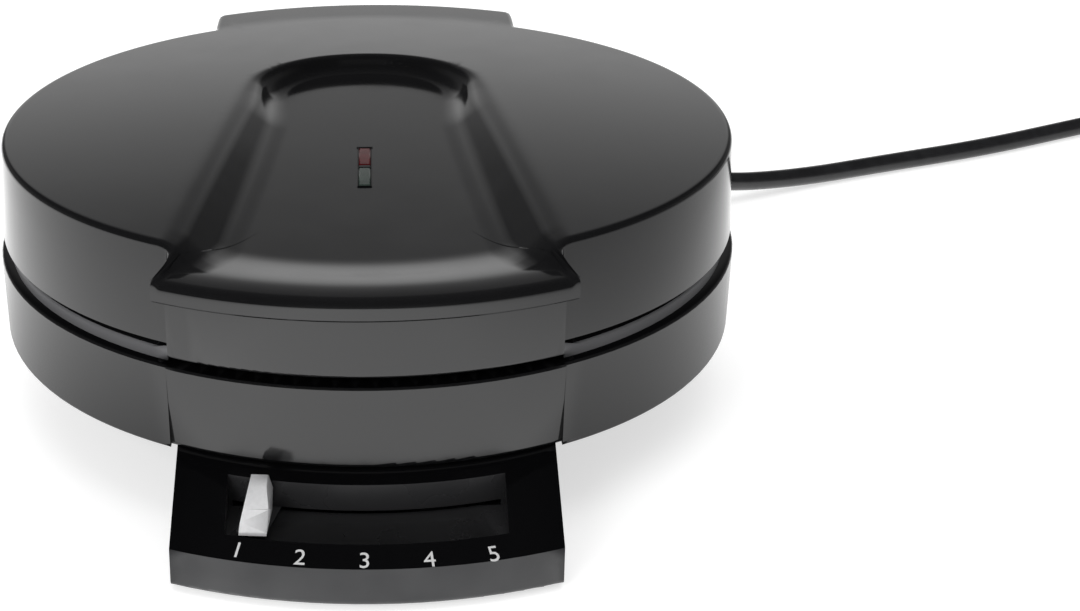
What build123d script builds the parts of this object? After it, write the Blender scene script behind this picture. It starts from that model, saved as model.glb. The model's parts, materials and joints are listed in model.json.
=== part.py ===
from build123d import *
import math
import os

# A round heart waffle iron: a base and a hinged lid, each with a cast waffle plate of five hearts.
# Millimetres. +Z is up and the front is towards -Y. The plates' upright centre line is the disc axis.
# The pieces are drawn about the disc axis, then moved so that the origin is on the floor under the
# middle of the appliance's outline.

# Heights of the housing, stacked from the floor
foot_proud = 1.5
strip_height = 10.7
panel_drop = 13.3
base_wall_height = 27.0
shoulder_height = 3.1
seam_gap = 1.5
lid_wall_height = 28.0
dome_rise = 2.3

# Radii about the disc axis: the plate, and the steps from it out to the housing
plate_radius = 100.0
plate_side_gap = 0.8
lid_rim_step = 10.0
lid_skirt_flare = 1.7
base_rim_step = 1.3
base_floor_inset = 4.5
shoulder_inset = 3.2
lid_rim_radius = plate_radius + lid_rim_step
lid_skirt_radius = lid_rim_radius + lid_skirt_flare
base_rim_radius = lid_skirt_radius + base_rim_step
base_floor_radius = base_rim_radius - base_floor_inset
shoulder_radius = base_rim_radius - shoulder_inset

# Walls and edges
wall = 2.4
lid_edge_round = 2.0
base_edge_round = 4.5
rim_edge_bevel = 0.6
body_gap = 0.4
seat_gap = 0.1

# Front body of the base, and the front of the lid under the handle
front_half_width = 53.0
front_proud = 0.6
front_lean = 2.0
front_drop = 1.7
front_edge_round = 2.5
lid_front_half_width = 52.2
lid_front_inset = 0.2
lid_front_lift = 0.9
front_top_radius = base_rim_radius + front_proud
front_foot_radius = front_top_radius - front_lean
lid_front_radius = front_top_radius - lid_front_inset
lid_front_depth = 7.4

# Handle and its scooped finger recess
lip_overhang = 7.1
lip_half_width = 54.8
lip_root_half_width = 50.6
lip_root_inset = 11.0
lip_flare_length = 6.5
lip_step = 5.0
lip_height = 7.3
lip_edge_round = 4.5
scoop_depth = 8.3
scoop_back_y = 58.7
scoop_mid_half_width = 35.2
scoop_mid_y = 20.0
scoop_crown_drop = 13.0
scoop_ridge_width = 0.7
scoop_mouth_side_gap = 2.7
scoop_mouth_overrun = 3.0
scoop_corner_round = 32.0
scoop_wall_slope = 22.0
scoop_foot_slope = 60.0
scoop_foot_rise = 4.0
scoop_rise_width = 17.5
scoop_end_inset = 5.5
lip_radius = lid_front_radius + lip_overhang
lip_root_y = lid_rim_radius - lip_root_inset
lip_corner_y = lip_root_y + lip_flare_length
scoop_rise_radius = lip_radius - scoop_rise_width

# Control box and panel
box_half_width = 51.4
box_reach = 29.3
strip_lean = 1.2
panel_root_step = 1.0
panel_skin = 1.8
window_half_width = 37.0
window_back_margin = 5.5
window_front_margin = 6.8
window_wall = 1.5
slot_height = 1.8
box_wall = 2.0
panel_root_radius = base_floor_radius + panel_root_step
strip_top_radius = panel_root_radius + box_reach
strip_foot_radius = strip_top_radius + strip_lean
window_back_radius = panel_root_radius + window_back_margin
window_front_radius = strip_top_radius - window_front_margin

# Temperature selector: the knob, its arm and the spindle turn together about the disc axis
knob_rest_angle = 13.6
knob_skew = 10.0
knob_half_width = 3.9
knob_height = 11.2
knob_ridge_left = 1.6
knob_ridge_right = 2.7
knob_belly = 0.4
knob_back_gap = 1.7
knob_front_gap = 1.7
arm_thickness = 1.2
arm_width = 9.0
spindle_radius = 3.0
hub_radius = 8.0
running_gap = 0.05

# Hinge at the rear: two lugs of the lid turn on pins inside the rounded block of the base
hinge_step = 5.0
hinge_below_rim = 6.0
hood_half_width = 53.0
hood_corner_inset = 3.0
hood_root_inset = 53.0
hood_corner_round = 4.0
barrel_radius = 9.5
lug_inner_x = 20.0
lug_width = 8.0
lug_radius = 6.0
lug_side_gap = 0.4
lug_end_gap = 0.8
pin_radius = 2.5
pin_length = 22.0
wiring_half_width = 12.0
lug_slot_depth = 9.0
web_set_in = 2.0
block_ceiling_drop = 13.5

# Waffle plates
plate_thickness = 11.0
plate_parting_gap = 0.3
heart_count = 5
heart_depth = 2.5
groove_depth = 2.5
groove_pitch = 12.0
groove_width = 3.2
heart_rim_width = 6.0
lobe_radius = 22.6
heart_divider = 3.5
divider_drop = 1.0
plate_hub_radius = 7.0
boss_radius = 6.0
boss_inset = 15.0
heart_outer_radius = plate_radius - heart_rim_width
boss_circle_radius = plate_radius - boss_inset

# Heating elements and heat shields
element_inset = 38.0
element_tube_radius = 3.25
element_seat_depth = 3.5
element_gap_angle = 36.0
cold_pin_radius = 1.6
cold_pin_length = 14.0
shield_thickness = 0.6
shield_inset = 3.0
shield_rim_height = 3.0
shield_rim_width = 6.0
shield_offset = 0.7
element_radius = plate_radius - element_inset
shield_radius = plate_radius - shield_inset

# Bottom cover, cord hooks and feet
cover_inset = 12.5
cover_thickness = 2.5
tub_half_width = 34.0
tub_rear_y = 36.0
tub_depth = 17.0
tub_opening_inset = 6.0
leg_x = 46.0
leg_inset = 22.0
leg_radius = 7.0
hook_length = 30.0
hook_width = 24.0
hook_thickness = 3.5
foot_radius = 6.0
foot_height = 3.0
front_foot_x = 38.0
front_foot_inset = 18.0
cover_radius = base_floor_radius - cover_inset
tub_front_y = -cover_radius
box_back_radius = cover_radius - 24.0
leg_y = cover_radius - leg_inset
front_foot_y = front_foot_inset - strip_foot_radius

# Screws
screw_radius = 1.75
screw_head_radius = 3.4
screw_head_height = 2.2

# Terminal block and thermal cutout inside the base
terminal_inset = 27.0
cutout_step = 18.0

# Indicator lamps in the floor of the scoop
lens_width = 3.4
lens_length = 14.0
lens_rear_y = -11.0
lens_divider = 1.6
lens_proud = 0.4
lens_edge_round = 0.4
lens_side_gap = 0.3
lens_flange = 1.4
lamp_radius = 0.75

# Mains cord, strain relief, coil and plug
cord_radius = 3.6
cord_exit_inset = 10.5
cord_exit_height = 34.0
relief_length = 26.0
relief_root_radius = 5.8
relief_tip_radius = 4.6
relief_bore_gap = 0.1
coil_pitch = 7.8
coil_mean_radius = 40.0
plug_body_radius = 18.5
plug_body_length = 32.0
plug_pin_radius = 2.4
plug_pin_length = 19.0
plug_pin_spacing = 19.0

# Heights that follow
strip_foot_z = foot_proud
panel_front_z = strip_foot_z + strip_height
floor_z = panel_front_z + panel_drop
rim_z = floor_z + base_wall_height
shoulder_z = rim_z + shoulder_height
lid_bottom_z = shoulder_z + seam_gap
lid_rim_z = lid_bottom_z + lid_wall_height
dome_z = lid_rim_z + dome_rise
parting_z = shoulder_z + seam_gap / 2
lip_top_z = lid_rim_z - lip_step
lip_foot_z = lip_top_z - lip_height
scoop_floor_z = lid_rim_z - scoop_depth
hinge_y = base_rim_radius + hinge_step
hinge_z = rim_z - hinge_below_rim
hood_corner_y = hinge_y - hood_corner_inset
hood_root_y = base_rim_radius - hood_root_inset
cord_exit_y = hinge_y - cord_exit_inset
lower_plate_top = parting_z - plate_parting_gap / 2
upper_plate_foot = parting_z + plate_parting_gap / 2
lower_plate_foot = lower_plate_top - plate_thickness
upper_plate_top = upper_plate_foot + plate_thickness
hood_back_y = hinge_y + barrel_radius
recess_floor_z = panel_front_z + 1.1
slot_top_z = recess_floor_z + slot_height
arm_z = recess_floor_z + (slot_height - arm_thickness) / 2

# The disc axis stands behind the origin, so that the outline is centred on the origin
axis_y = (strip_foot_radius - hood_back_y) / 2
big = 400.0


def save(name, shape):
    """Moves a finished piece to the appliance's own frame and writes it."""
    placed = Pos(0, axis_y, 0) * shape
    export_step(placed, f"parts/{name}.step")


def outline(*points):
    """A flat face in the XZ plane through the disc axis, from radius and height pairs."""
    return make_face(Plane.XZ * Polyline(*points, close=True))


def near_corners(section, corners):
    """The corners of a section that lie nearest to some radius and height pairs."""
    chosen = []
    for radius_at, height_at in corners:
        spot = Vector(radius_at, 0, height_at)
        chosen.append(min(section.vertices(), key=lambda v: (Vector(*v) - spot).length))
    return chosen


def rounded(section, radius, *corners):
    """The same section with a few of its corners rounded, each given by radius and height."""
    return fillet(near_corners(section, corners), radius)


def bevelled(section, size, *corners):
    """The same section with a few of its corners bevelled, each given by radius and height."""
    return chamfer(near_corners(section, corners), size)


def ring(*points):
    """A solid of revolution about the disc axis, from radius and height pairs."""
    return revolve(outline(*points), Axis.Z, 360)


def slab(x_low, x_high, y_low, y_high, z_low, z_high):
    """A block between two corners."""
    size = Box(x_high - x_low, y_high - y_low, z_high - z_low)
    centre = Pos((x_low + x_high) / 2, (y_low + y_high) / 2, (z_low + z_high) / 2)
    return centre * size


def front_slab(half_width, z_low=-big, z_high=big):
    """Everything in front of the disc axis within a half width."""
    return slab(-half_width, half_width, -big, 0, z_low, z_high)


def disc(radius, z_low, z_high, x=0.0, y=0.0):
    """An upright round bar between two heights."""
    return Pos(x, y, (z_low + z_high) / 2) * Cylinder(radius, z_high - z_low)


def cross_bar(radius, x_low, x_high, y, z):
    """A round bar along X."""
    centre = Pos((x_low + x_high) / 2, y, z) * Rot(0, 90, 0)
    return centre * Cylinder(radius, x_high - x_low)


def prism(face, z_low, z_high):
    """An upright prism of a plan outline between two heights."""
    return extrude(Pos(0, 0, z_low) * face, z_high - z_low)


def screw(x, y, seat_z, length, up):
    """A pan-headed screw whose head seats at seat_z and whose shank runs up or down from it."""
    way = 1 if up else -1
    head = disc(screw_head_radius, *sorted((seat_z, seat_z - way * screw_head_height)), x, y)
    shank = disc(screw_radius, *sorted((seat_z, seat_z + way * length)), x, y)
    drive = disc(1.4, *sorted((seat_z - way * 1.2, seat_z - way * (screw_head_height + 1))), x, y)
    return head + shank - drive


def boss_points():
    """The four places where the plates are screwed down."""
    angles = (35.0, 145.0, 215.0, 325.0)
    return [(boss_circle_radius * math.cos(math.radians(a)),
             boss_circle_radius * math.sin(math.radians(a))) for a in angles]


def rear_plan(half_width, corner_y, back_y, round_radius):
    """The plan of the hinge block: straight sides and a bowed back."""
    back = ThreePointArc((-half_width, corner_y), (0, back_y), (half_width, corner_y))
    sides = Polyline((half_width, corner_y), (half_width, hood_root_y), (-half_width, hood_root_y),
                     (-half_width, corner_y))
    face = make_face(Curve() + [back, sides])
    corners = face.vertices().filter_by_position(Axis.Y, corner_y - 1, corner_y + 1)
    return fillet(corners, round_radius)


def panel_height(radius):
    """Height of the sloping control panel at a distance from the disc axis."""
    share = (radius - panel_root_radius) / (strip_top_radius - panel_root_radius)
    return floor_z - share * panel_drop


def heart_plan(shrink):
    """One heart pointing at the disc axis from +Y: two lobes and two straight sides."""
    half_angle = math.radians(180.0 / heart_count)
    lobe = lobe_radius - shrink
    edge_offset = heart_divider / 2 + shrink
    reach = heart_outer_radius - lobe_radius
    turn = half_angle - math.asin((lobe_radius + heart_divider / 2) / reach)
    lobe_x = reach * math.sin(turn)
    lobe_y = reach * math.cos(turn)
    touch_x = lobe_x + lobe * math.cos(half_angle)
    touch_y = lobe_y - lobe * math.sin(half_angle)
    tip_y = edge_offset / math.sin(half_angle)
    notch_y = lobe_y + math.sqrt(max(lobe ** 2 - lobe_x ** 2, 0.0))
    body = make_face(Polyline((0, tip_y), (touch_x, touch_y), (lobe_x, lobe_y), (0, notch_y),
                              (-lobe_x, lobe_y), (-touch_x, touch_y), close=True))
    lobes = Pos(lobe_x, lobe_y) * Circle(lobe) + Pos(-lobe_x, lobe_y) * Circle(lobe)
    return body + lobes - Circle(plate_hub_radius + shrink)


def waffle_cavities(face_z, way):
    """What five hearts and their grid of grooves take out of a plate, from its face inwards."""
    shallow = heart_depth + divider_drop
    deep = shallow + groove_depth
    heart = prism(heart_plan(0), *sorted((face_z + way, face_z - way * shallow)))
    field = prism(heart_plan(groove_width), *sorted((face_z, face_z - way * deep)))
    low, high = sorted((face_z - way * (shallow - 0.5), face_z - way * deep))
    half = groove_width / 2
    bars = Part()
    half_count = math.ceil(2 * lobe_radius / groove_pitch) - 1
    for step in range(-half_count, half_count + 1):
        x = step * groove_pitch
        bars += slab(x - half, x + half, 0, heart_outer_radius, low, high)
    for step in range(1, int(heart_outer_radius / groove_pitch) + 1):
        y = step * groove_pitch
        bars += slab(-heart_outer_radius, heart_outer_radius, y - half, y + half, low, high)
    one = heart + (field & bars)
    spread = Part()
    for index in range(heart_count):
        spread += Rot(0, 0, index * 360.0 / heart_count) * one
    dish = ring((0, face_z + way), (heart_outer_radius, face_z + way),
                (heart_outer_radius, face_z - way * divider_drop), (0, face_z - way * divider_drop))
    return spread + dish


def waffle_plate(face_z, way):
    """A cast plate: hearts in its face, a groove for the element and four bosses on its back."""
    back_z = face_z - way * plate_thickness
    lip_z = face_z - way * 3.0
    body = ring((0, face_z), (plate_radius, face_z), (plate_radius, lip_z),
                (plate_radius - 2.5, back_z), (0, back_z))
    seat = back_z + way * (element_seat_depth - element_tube_radius)
    channel = Pos(0, 0, seat) * Torus(element_radius, element_tube_radius + seat_gap)
    channel += ring((element_radius - element_tube_radius - seat_gap, seat),
                    (element_radius + element_tube_radius + seat_gap, seat),
                    (element_radius + element_tube_radius + seat_gap, back_z - way),
                    (element_radius - element_tube_radius - seat_gap, back_z - way))
    return body - channel - waffle_cavities(face_z, way)


def heating_element(face_z, way):
    """A sheathed tube bent into an open ring, with a cold pin at each end."""
    centre_z = face_z - way * plate_thickness + way * (element_seat_depth - element_tube_radius)
    half_gap = math.radians(element_gap_angle / 2)
    start = (element_radius * math.sin(half_gap), element_radius * math.cos(half_gap), centre_z)
    end = (-start[0], start[1], centre_z)
    path = ThreePointArc(start, (0, -element_radius, centre_z), end)
    tube = sweep(Plane(start, z_dir=path % 0) * Circle(element_tube_radius), path)
    pins = Part()
    for side in (-1, 1):
        root = Plane((side * start[0], start[1], centre_z), z_dir=(-side * math.cos(half_gap),
                     math.sin(half_gap), 0))
        pins += extrude(root * Circle(cold_pin_radius), cold_pin_length, both=True)
    return tube + pins


def heat_shield(face_z, way):
    """A thin pressed dish behind the element, with clearance holes for the bosses."""
    element_back = (face_z - way * plate_thickness + way * (element_seat_depth
                    - 2 * element_tube_radius))
    near = element_back - way * shield_offset
    far = near - way * shield_thickness
    rim = near + way * shield_rim_height
    bend_radius = shield_radius - shield_rim_width
    dish = ring((0, near), (bend_radius, near), (shield_radius - shield_thickness, rim),
                (shield_radius, rim), (bend_radius + shield_thickness, far), (0, far))
    return dish, near, far


# Base housing: a round pan with a stepped rim, a bowed front body and the hinge block behind
seat_radius = plate_radius + plate_side_gap
rim_section = outline(
    (0, floor_z), (base_floor_radius, floor_z), (base_rim_radius, rim_z), (shoulder_radius, rim_z),
    (shoulder_radius, shoulder_z), (seat_radius, shoulder_z), (seat_radius, rim_z - 6),
    (seat_radius + 2, rim_z - 6), (seat_radius + 2, shoulder_z - wall),
    (shoulder_radius - wall, shoulder_z - wall), (shoulder_radius - wall, rim_z - 4),
    (base_rim_radius - wall - 0.6, rim_z - 4), (base_floor_radius - wall, floor_z + wall),
    (0, floor_z + wall))
rim_section = rounded(rim_section, base_edge_round, (base_floor_radius, floor_z))
rim_section = bevelled(rim_section, rim_edge_bevel, (base_rim_radius, rim_z), (shoulder_radius, shoulder_z))
base_shell = revolve(rim_section, Axis.Z, 360)

front_root_radius = base_floor_radius - base_edge_round
front_section = outline((front_root_radius, floor_z), (front_foot_radius, floor_z),
                        (front_top_radius, rim_z - front_drop), (front_root_radius, rim_z - front_drop))
front_section = rounded(front_section, front_edge_round, (front_foot_radius, floor_z))
front_section = bevelled(front_section, rim_edge_bevel, (front_top_radius, rim_z - front_drop))
front_body = revolve(front_section, Axis.Z, 360) & front_slab(front_half_width)
hollow_root_radius = front_root_radius - 14
front_hollow = ring((hollow_root_radius, floor_z + wall), (front_foot_radius - wall, floor_z + wall),
                    (front_foot_radius - wall, rim_z - 4), (hollow_root_radius, rim_z - 4))
front_hollow &= front_slab(front_half_width - wall)
front_relief_radius = lid_front_radius - lid_front_depth - body_gap
front_relief = ring((front_relief_radius, rim_z - front_drop), (big, rim_z - front_drop), (big, big),
                    (front_relief_radius, big))
base_shell += front_body
base_shell -= front_hollow
base_shell -= front_relief & front_slab(lid_front_half_width + body_gap)

block_plan = rear_plan(hood_half_width, hood_corner_y, hood_back_y, hood_corner_round)
block_inner_plan = rear_plan(hood_half_width - wall, hood_corner_y - wall, hood_back_y - wall,
                             hood_corner_round - wall + 1)
block_ceiling_z = rim_z - block_ceiling_drop
rear_block = prism(block_plan, floor_z, shoulder_z)
back_corner = slab(-big, big, hinge_y, big, hinge_z, big)
back_corner -= cross_bar(barrel_radius, -big, big, hinge_y, hinge_z)
rear_block -= back_corner
rear_block -= disc(base_floor_radius - wall, 0, big)
base_shell += rear_block
base_shell -= prism(block_inner_plan, floor_z + wall, block_ceiling_z)
lug_front_y = hinge_y - lug_radius - lug_end_gap
for side in (-1, 1):
    low_x, high_x = sorted((side * (lug_inner_x - lug_side_gap), side * (lug_inner_x + lug_width + lug_side_gap)))
    base_shell -= slab(low_x, high_x, lug_front_y, big, hinge_z - lug_slot_depth, big)
base_shell -= slab(-wiring_half_width, wiring_half_width, lug_front_y, hood_back_y - 2 * wall,
                   block_ceiling_z - 1, big)
pin_middle_x = lug_inner_x + lug_width / 2
bore_end_x = pin_middle_x + pin_length / 2 + 0.2
pin_bore = cross_bar(pin_radius + running_gap, -bore_end_x, bore_end_x, hinge_y, hinge_z)
base_shell -= pin_bore
base_shell -= cross_bar(relief_root_radius + seat_gap, hood_half_width - 2 * wall, big, cord_exit_y,
                        cord_exit_height)
tub_opening = slab(-tub_half_width + tub_opening_inset, tub_half_width - tub_opening_inset, tub_front_y,
                   tub_rear_y - tub_opening_inset, 0, floor_z + wall + 1)
base_shell -= tub_opening

# Posts in the base carry the lower plate's bosses
lower_shield, lower_shield_near, lower_shield_far = heat_shield(lower_plate_top, 1)
post_top_z = lower_shield_far - seat_gap
for x, y in boss_points():
    base_shell += disc(boss_radius, floor_z, post_top_z, x, y)
for x, y in boss_points():
    base_shell -= disc(screw_radius + 0.3, 0, post_top_z + 1, x, y)
save("base_shell", base_shell)

# Hinge pins
hinge_pins = Part()
for side in (-1, 1):
    low_x, high_x = sorted((side * (pin_middle_x - pin_length / 2), side * (pin_middle_x + pin_length / 2)))
    hinge_pins += cross_bar(pin_radius, low_x, high_x, hinge_y, hinge_z)
save("hinge_pins", hinge_pins)

# Bottom cover with the control box in front and two cord hooks at the rear
cover_top_z = floor_z - seat_gap
cover_foot_z = cover_top_z - cover_thickness
skin_drop = panel_skin * 1.1
ledge_share = (panel_drop - skin_drop) / panel_drop
ledge_radius = panel_root_radius + ledge_share * (strip_top_radius - panel_root_radius)
box_section = outline(
    (box_back_radius, cover_top_z), (panel_root_radius - 0.3, cover_top_z),
    (panel_root_radius - 0.3, floor_z - skin_drop - seat_gap),
    (ledge_radius, panel_front_z - seat_gap), (strip_top_radius, panel_front_z - seat_gap),
    (strip_foot_radius, strip_foot_z), (box_back_radius, strip_foot_z))
box_section = rounded(box_section, 1.5, (strip_foot_radius, strip_foot_z))
bottom_cover = revolve(box_section, Axis.Z, 360) & front_slab(box_half_width)
bottom_cover += disc(cover_radius, cover_foot_z, cover_top_z)
tub_foot_z = cover_top_z - tub_depth
bottom_cover += slab(-tub_half_width, tub_half_width, tub_front_y, tub_rear_y, tub_foot_z, cover_top_z)
box_inner_radius = box_back_radius + box_wall
box_hollow = ring((box_inner_radius, strip_foot_z + box_wall),
                  (strip_foot_radius - box_wall - 0.3, strip_foot_z + box_wall),
                  (strip_top_radius - box_wall, panel_front_z), (strip_top_radius - box_wall, big),
                  (box_inner_radius, big))
box_hollow &= front_slab(box_half_width - box_wall)
bottom_cover -= box_hollow
bottom_cover -= slab(-tub_half_width + box_wall, tub_half_width - box_wall, tub_front_y,
                     tub_rear_y - box_wall, tub_foot_z + box_wall, big)
bearing_top_z = arm_z - 1.6
bottom_cover += disc(6.0, tub_foot_z, bearing_top_z)
spindle_foot_z = tub_foot_z + box_wall
bottom_cover -= disc(spindle_radius + running_gap, spindle_foot_z - 0.1, big)
hook_x = leg_x + hook_length / 2 - leg_radius - 3
foot_points = []
for side in (-1, 1):
    bottom_cover += disc(leg_radius, strip_foot_z, cover_top_z, side * leg_x, leg_y)
    bottom_cover += slab(side * hook_x - hook_length / 2, side * hook_x + hook_length / 2,
                         leg_y - hook_width / 2, leg_y + hook_width / 2, strip_foot_z,
                         strip_foot_z + hook_thickness)
    bottom_cover += disc(foot_radius + 2, strip_foot_z, strip_foot_z + foot_height, side * front_foot_x,
                         front_foot_y)
    foot_points.append((side * hook_x, leg_y))
    foot_points.append((side * front_foot_x, front_foot_y))
for x, y in foot_points:
    bottom_cover -= disc(foot_radius + seat_gap, 0, foot_height, x, y)
for x, y in boss_points():
    bottom_cover -= disc(screw_radius + 0.3, 0, big, x, y)
save("bottom_cover", bottom_cover)

rubber_feet = Part()
for x, y in foot_points:
    foot = disc(foot_radius, 0, foot_height - seat_gap, x, y)
    rubber_feet += chamfer(foot.edges().group_by(Axis.Z)[0], 0.6)
save("rubber_feet", rubber_feet)

housing_screws = Part()
for x, y in boss_points():
    housing_screws += screw(x, y, cover_foot_z, lower_plate_foot + 1 - cover_foot_z, True)
save("housing_screws", housing_screws)

# Control panel: a sloping skin bowed about the disc axis, with a stepped window and its slot
panel = ring((panel_root_radius, floor_z - seat_gap), (strip_top_radius, panel_front_z),
             (ledge_radius, panel_front_z), (panel_root_radius, floor_z - skin_drop))
panel &= front_slab(box_half_width)
tray_foot_z = recess_floor_z - window_wall
tray = ring((window_back_radius - window_wall, panel_height(window_back_radius - window_wall) - 0.5),
            (window_front_radius + window_wall, panel_height(window_front_radius + window_wall) - 0.5),
            (window_front_radius + window_wall, tray_foot_z),
            (window_back_radius - window_wall, tray_foot_z)) & front_slab(window_half_width + window_wall)
window = ring((window_back_radius, recess_floor_z), (window_front_radius, recess_floor_z),
              (window_front_radius, big), (window_back_radius, big)) & front_slab(window_half_width)
arm_slot = ring((window_back_radius - 2 * window_wall, recess_floor_z),
                (window_back_radius + 1, recess_floor_z), (window_back_radius + 1, slot_top_z),
                (window_back_radius - 2 * window_wall, slot_top_z)) & front_slab(window_half_width - 1)
control_panel = panel + tray - window - arm_slot
save("control_panel", control_panel)

# Temperature selector, drawn pointing forward and turned to its first mark
to_rest = Rot(0, 0, -knob_rest_angle)
arm_top_z = arm_z + arm_thickness
knob_back_radius = window_back_radius + knob_back_gap
knob_front_radius = window_front_radius - knob_front_gap
arm_plan = make_face(Polyline((-arm_width / 2, 0), (arm_width / 2, 0),
                              (knob_half_width, -knob_front_radius + 1.5),
                              (-knob_half_width, -knob_front_radius + 1.5), close=True))
selector_arm = prism(arm_plan, arm_z, arm_top_z) + disc(hub_radius, arm_z - 1.2, arm_top_z + 5)
selector_arm -= disc(spindle_radius + 0.02, 0, big)
save("selector_arm", to_rest * selector_arm)

knob_top_z = arm_top_z + knob_height
knob_length = knob_front_radius - knob_back_radius
knob_middle_y = -(knob_front_radius + knob_back_radius) / 2
knob_side = make_face(Plane.YZ * Polyline(
    (knob_length / 2, arm_top_z), (knob_length / 2, knob_top_z - 0.8),
    (knob_length * 0.42, knob_top_z), (knob_length * 0.06, knob_top_z - 1.0),
    (-knob_length * 0.32, knob_top_z - knob_height * 0.42), (-knob_length / 2, arm_top_z + 1.0),
    (-knob_length / 2, arm_top_z), close=True))
knob_face = make_face(Plane.XZ * Polyline(
    (-knob_half_width, arm_top_z), (knob_half_width - knob_belly, arm_top_z),
    (knob_half_width, knob_top_z - knob_height * 0.4), (knob_ridge_right, knob_top_z),
    (-knob_ridge_left, knob_top_z), (-knob_half_width + knob_belly, arm_top_z + knob_height * 0.3), close=True))
selector_knob = extrude(knob_side, knob_half_width, both=True) & extrude(knob_face, big, both=True)
selector_knob = Pos(0, knob_middle_y, 0) * Rot(0, 0, knob_skew) * selector_knob
save("selector_knob", to_rest * selector_knob)

thermostat_foot_z = floor_z + wall + 1.0
thermostat_top_z = post_top_z
spindle_top_z = thermostat_foot_z + 6.0
spindle = disc(spindle_radius, spindle_foot_z, spindle_top_z)
spindle -= slab(-0.5, 0.5, -big, big, spindle_top_z - 2, big)
save("thermostat_spindle", spindle)

# Lower waffle plate, element, shield and thermostat
lower_plate = waffle_plate(lower_plate_top, 1)
for x, y in boss_points():
    lower_plate += disc(boss_radius, lower_shield_near + seat_gap, lower_plate_foot + 1, x, y)
for x, y in boss_points():
    lower_plate -= disc(screw_radius + running_gap, 0, lower_plate_foot + 2, x, y)
save("lower_waffle_plate", lower_plate)
save("lower_heating_element", heating_element(lower_plate_top, 1))

for x, y in boss_points():
    lower_shield -= disc(screw_radius + 0.3, 0, big, x, y)
lower_shield -= disc(8.0, 0, big)
save("lower_heat_shield", lower_shield)

thermostat = slab(-13, 13, -9, 9, thermostat_foot_z, thermostat_top_z - 2)
thermostat += disc(7.0, thermostat_top_z - 3, lower_plate_foot - running_gap)
thermostat += disc(5.0, thermostat_foot_z - 0.6, thermostat_foot_z)
thermostat -= disc(spindle_radius + running_gap, 0, spindle_top_z + 0.3)
save("thermostat", thermostat)

inner_floor_z = floor_z + wall
terminal_y = hinge_y - terminal_inset
cutout_y = terminal_y - cutout_step
thermal_cutout = slab(-7, 7, cutout_y - 5, cutout_y + 5, inner_floor_z + seat_gap, inner_floor_z + 7)
thermal_cutout += cross_bar(2.4, -10, 10, cutout_y, inner_floor_z + 7)
save("thermal_cutout", thermal_cutout)

terminal_block = slab(-15, 15, terminal_y - 5, terminal_y + 5, inner_floor_z + seat_gap, inner_floor_z + 9)
for step in (-1, 0, 1):
    terminal_block -= disc(2.2, inner_floor_z + 4, big, step * 9.5, terminal_y)
    wire_way = Pos(step * 9.5, terminal_y, inner_floor_z + 3.4) * Rot(90, 0, 0)
    terminal_block -= wire_way * Cylinder(1.6, 30)
save("terminal_block", terminal_block)


# Lid: a shallow dome with a skirt, a hood over the hinge and a scooped handle in front
def dome_section(inset, foot_z):
    """Half the section of the round lid, shrunk by an inset and carried down to a height."""
    top_z = dome_z - inset
    rim = (lid_rim_radius - inset, lid_rim_z - inset)
    crown = ThreePointArc((0, top_z), (lid_rim_radius / 2, top_z - dome_rise / 4), rim)
    sides = Polyline(rim, (lid_skirt_radius - inset, foot_z), (0, foot_z), (0, top_z))
    return make_face(Plane.XZ * (Curve() + [crown, sides]))


def scoop_plan():
    """The arch of the scoop at the top of the lid, flaring out in front to the full width of the lip."""
    root_x = lip_root_half_width - scoop_ridge_width
    spread = (root_x - scoop_mid_half_width) / (lip_root_y + scoop_mid_y)
    corner_y = scoop_back_y - scoop_crown_drop
    corner_x = scoop_mid_half_width + (scoop_mid_y - corner_y) * spread
    mouth_x = lip_half_width + scoop_mouth_side_gap
    mouth_y = -lip_corner_y - scoop_mouth_overrun
    end_y = -(lip_radius + 5)
    crown = ThreePointArc((-corner_x, corner_y), (0, scoop_back_y), (corner_x, corner_y))
    sides = Polyline((corner_x, corner_y), (root_x, -lip_root_y), (mouth_x, mouth_y), (mouth_x, end_y),
                     (-mouth_x, end_y), (-mouth_x, mouth_y), (-root_x, -lip_root_y), (-corner_x, corner_y))
    face = make_face(Curve() + [crown, sides])
    corners = face.vertices().filter_by_position(Axis.Y, corner_y - 1, corner_y + 1)
    return fillet(corners, scoop_corner_round)


def scoop_region(drop):
    """Everything above the scoop's floor, which curls up to the top of the lip."""
    rise = lip_top_z - scoop_floor_z + 0.2
    run = scoop_rise_width - scoop_end_inset
    curl = (rise ** 2 + run ** 2) / (2 * rise)
    half = math.asin(run / curl) / 2
    start = (scoop_rise_radius, scoop_floor_z - drop)
    middle = (scoop_rise_radius + curl * math.sin(half), scoop_floor_z - drop + curl * (1 - math.cos(half)))
    end = (scoop_rise_radius + run, scoop_floor_z - drop + rise)
    arc = ThreePointArc(start, middle, end)
    rest = Polyline(end, (big, end[1]), (big, big), (0, big), (0, start[1]), start)
    return revolve(make_face(Plane.XZ * (Curve() + [arc, rest])), Axis.Z, 360)


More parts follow.
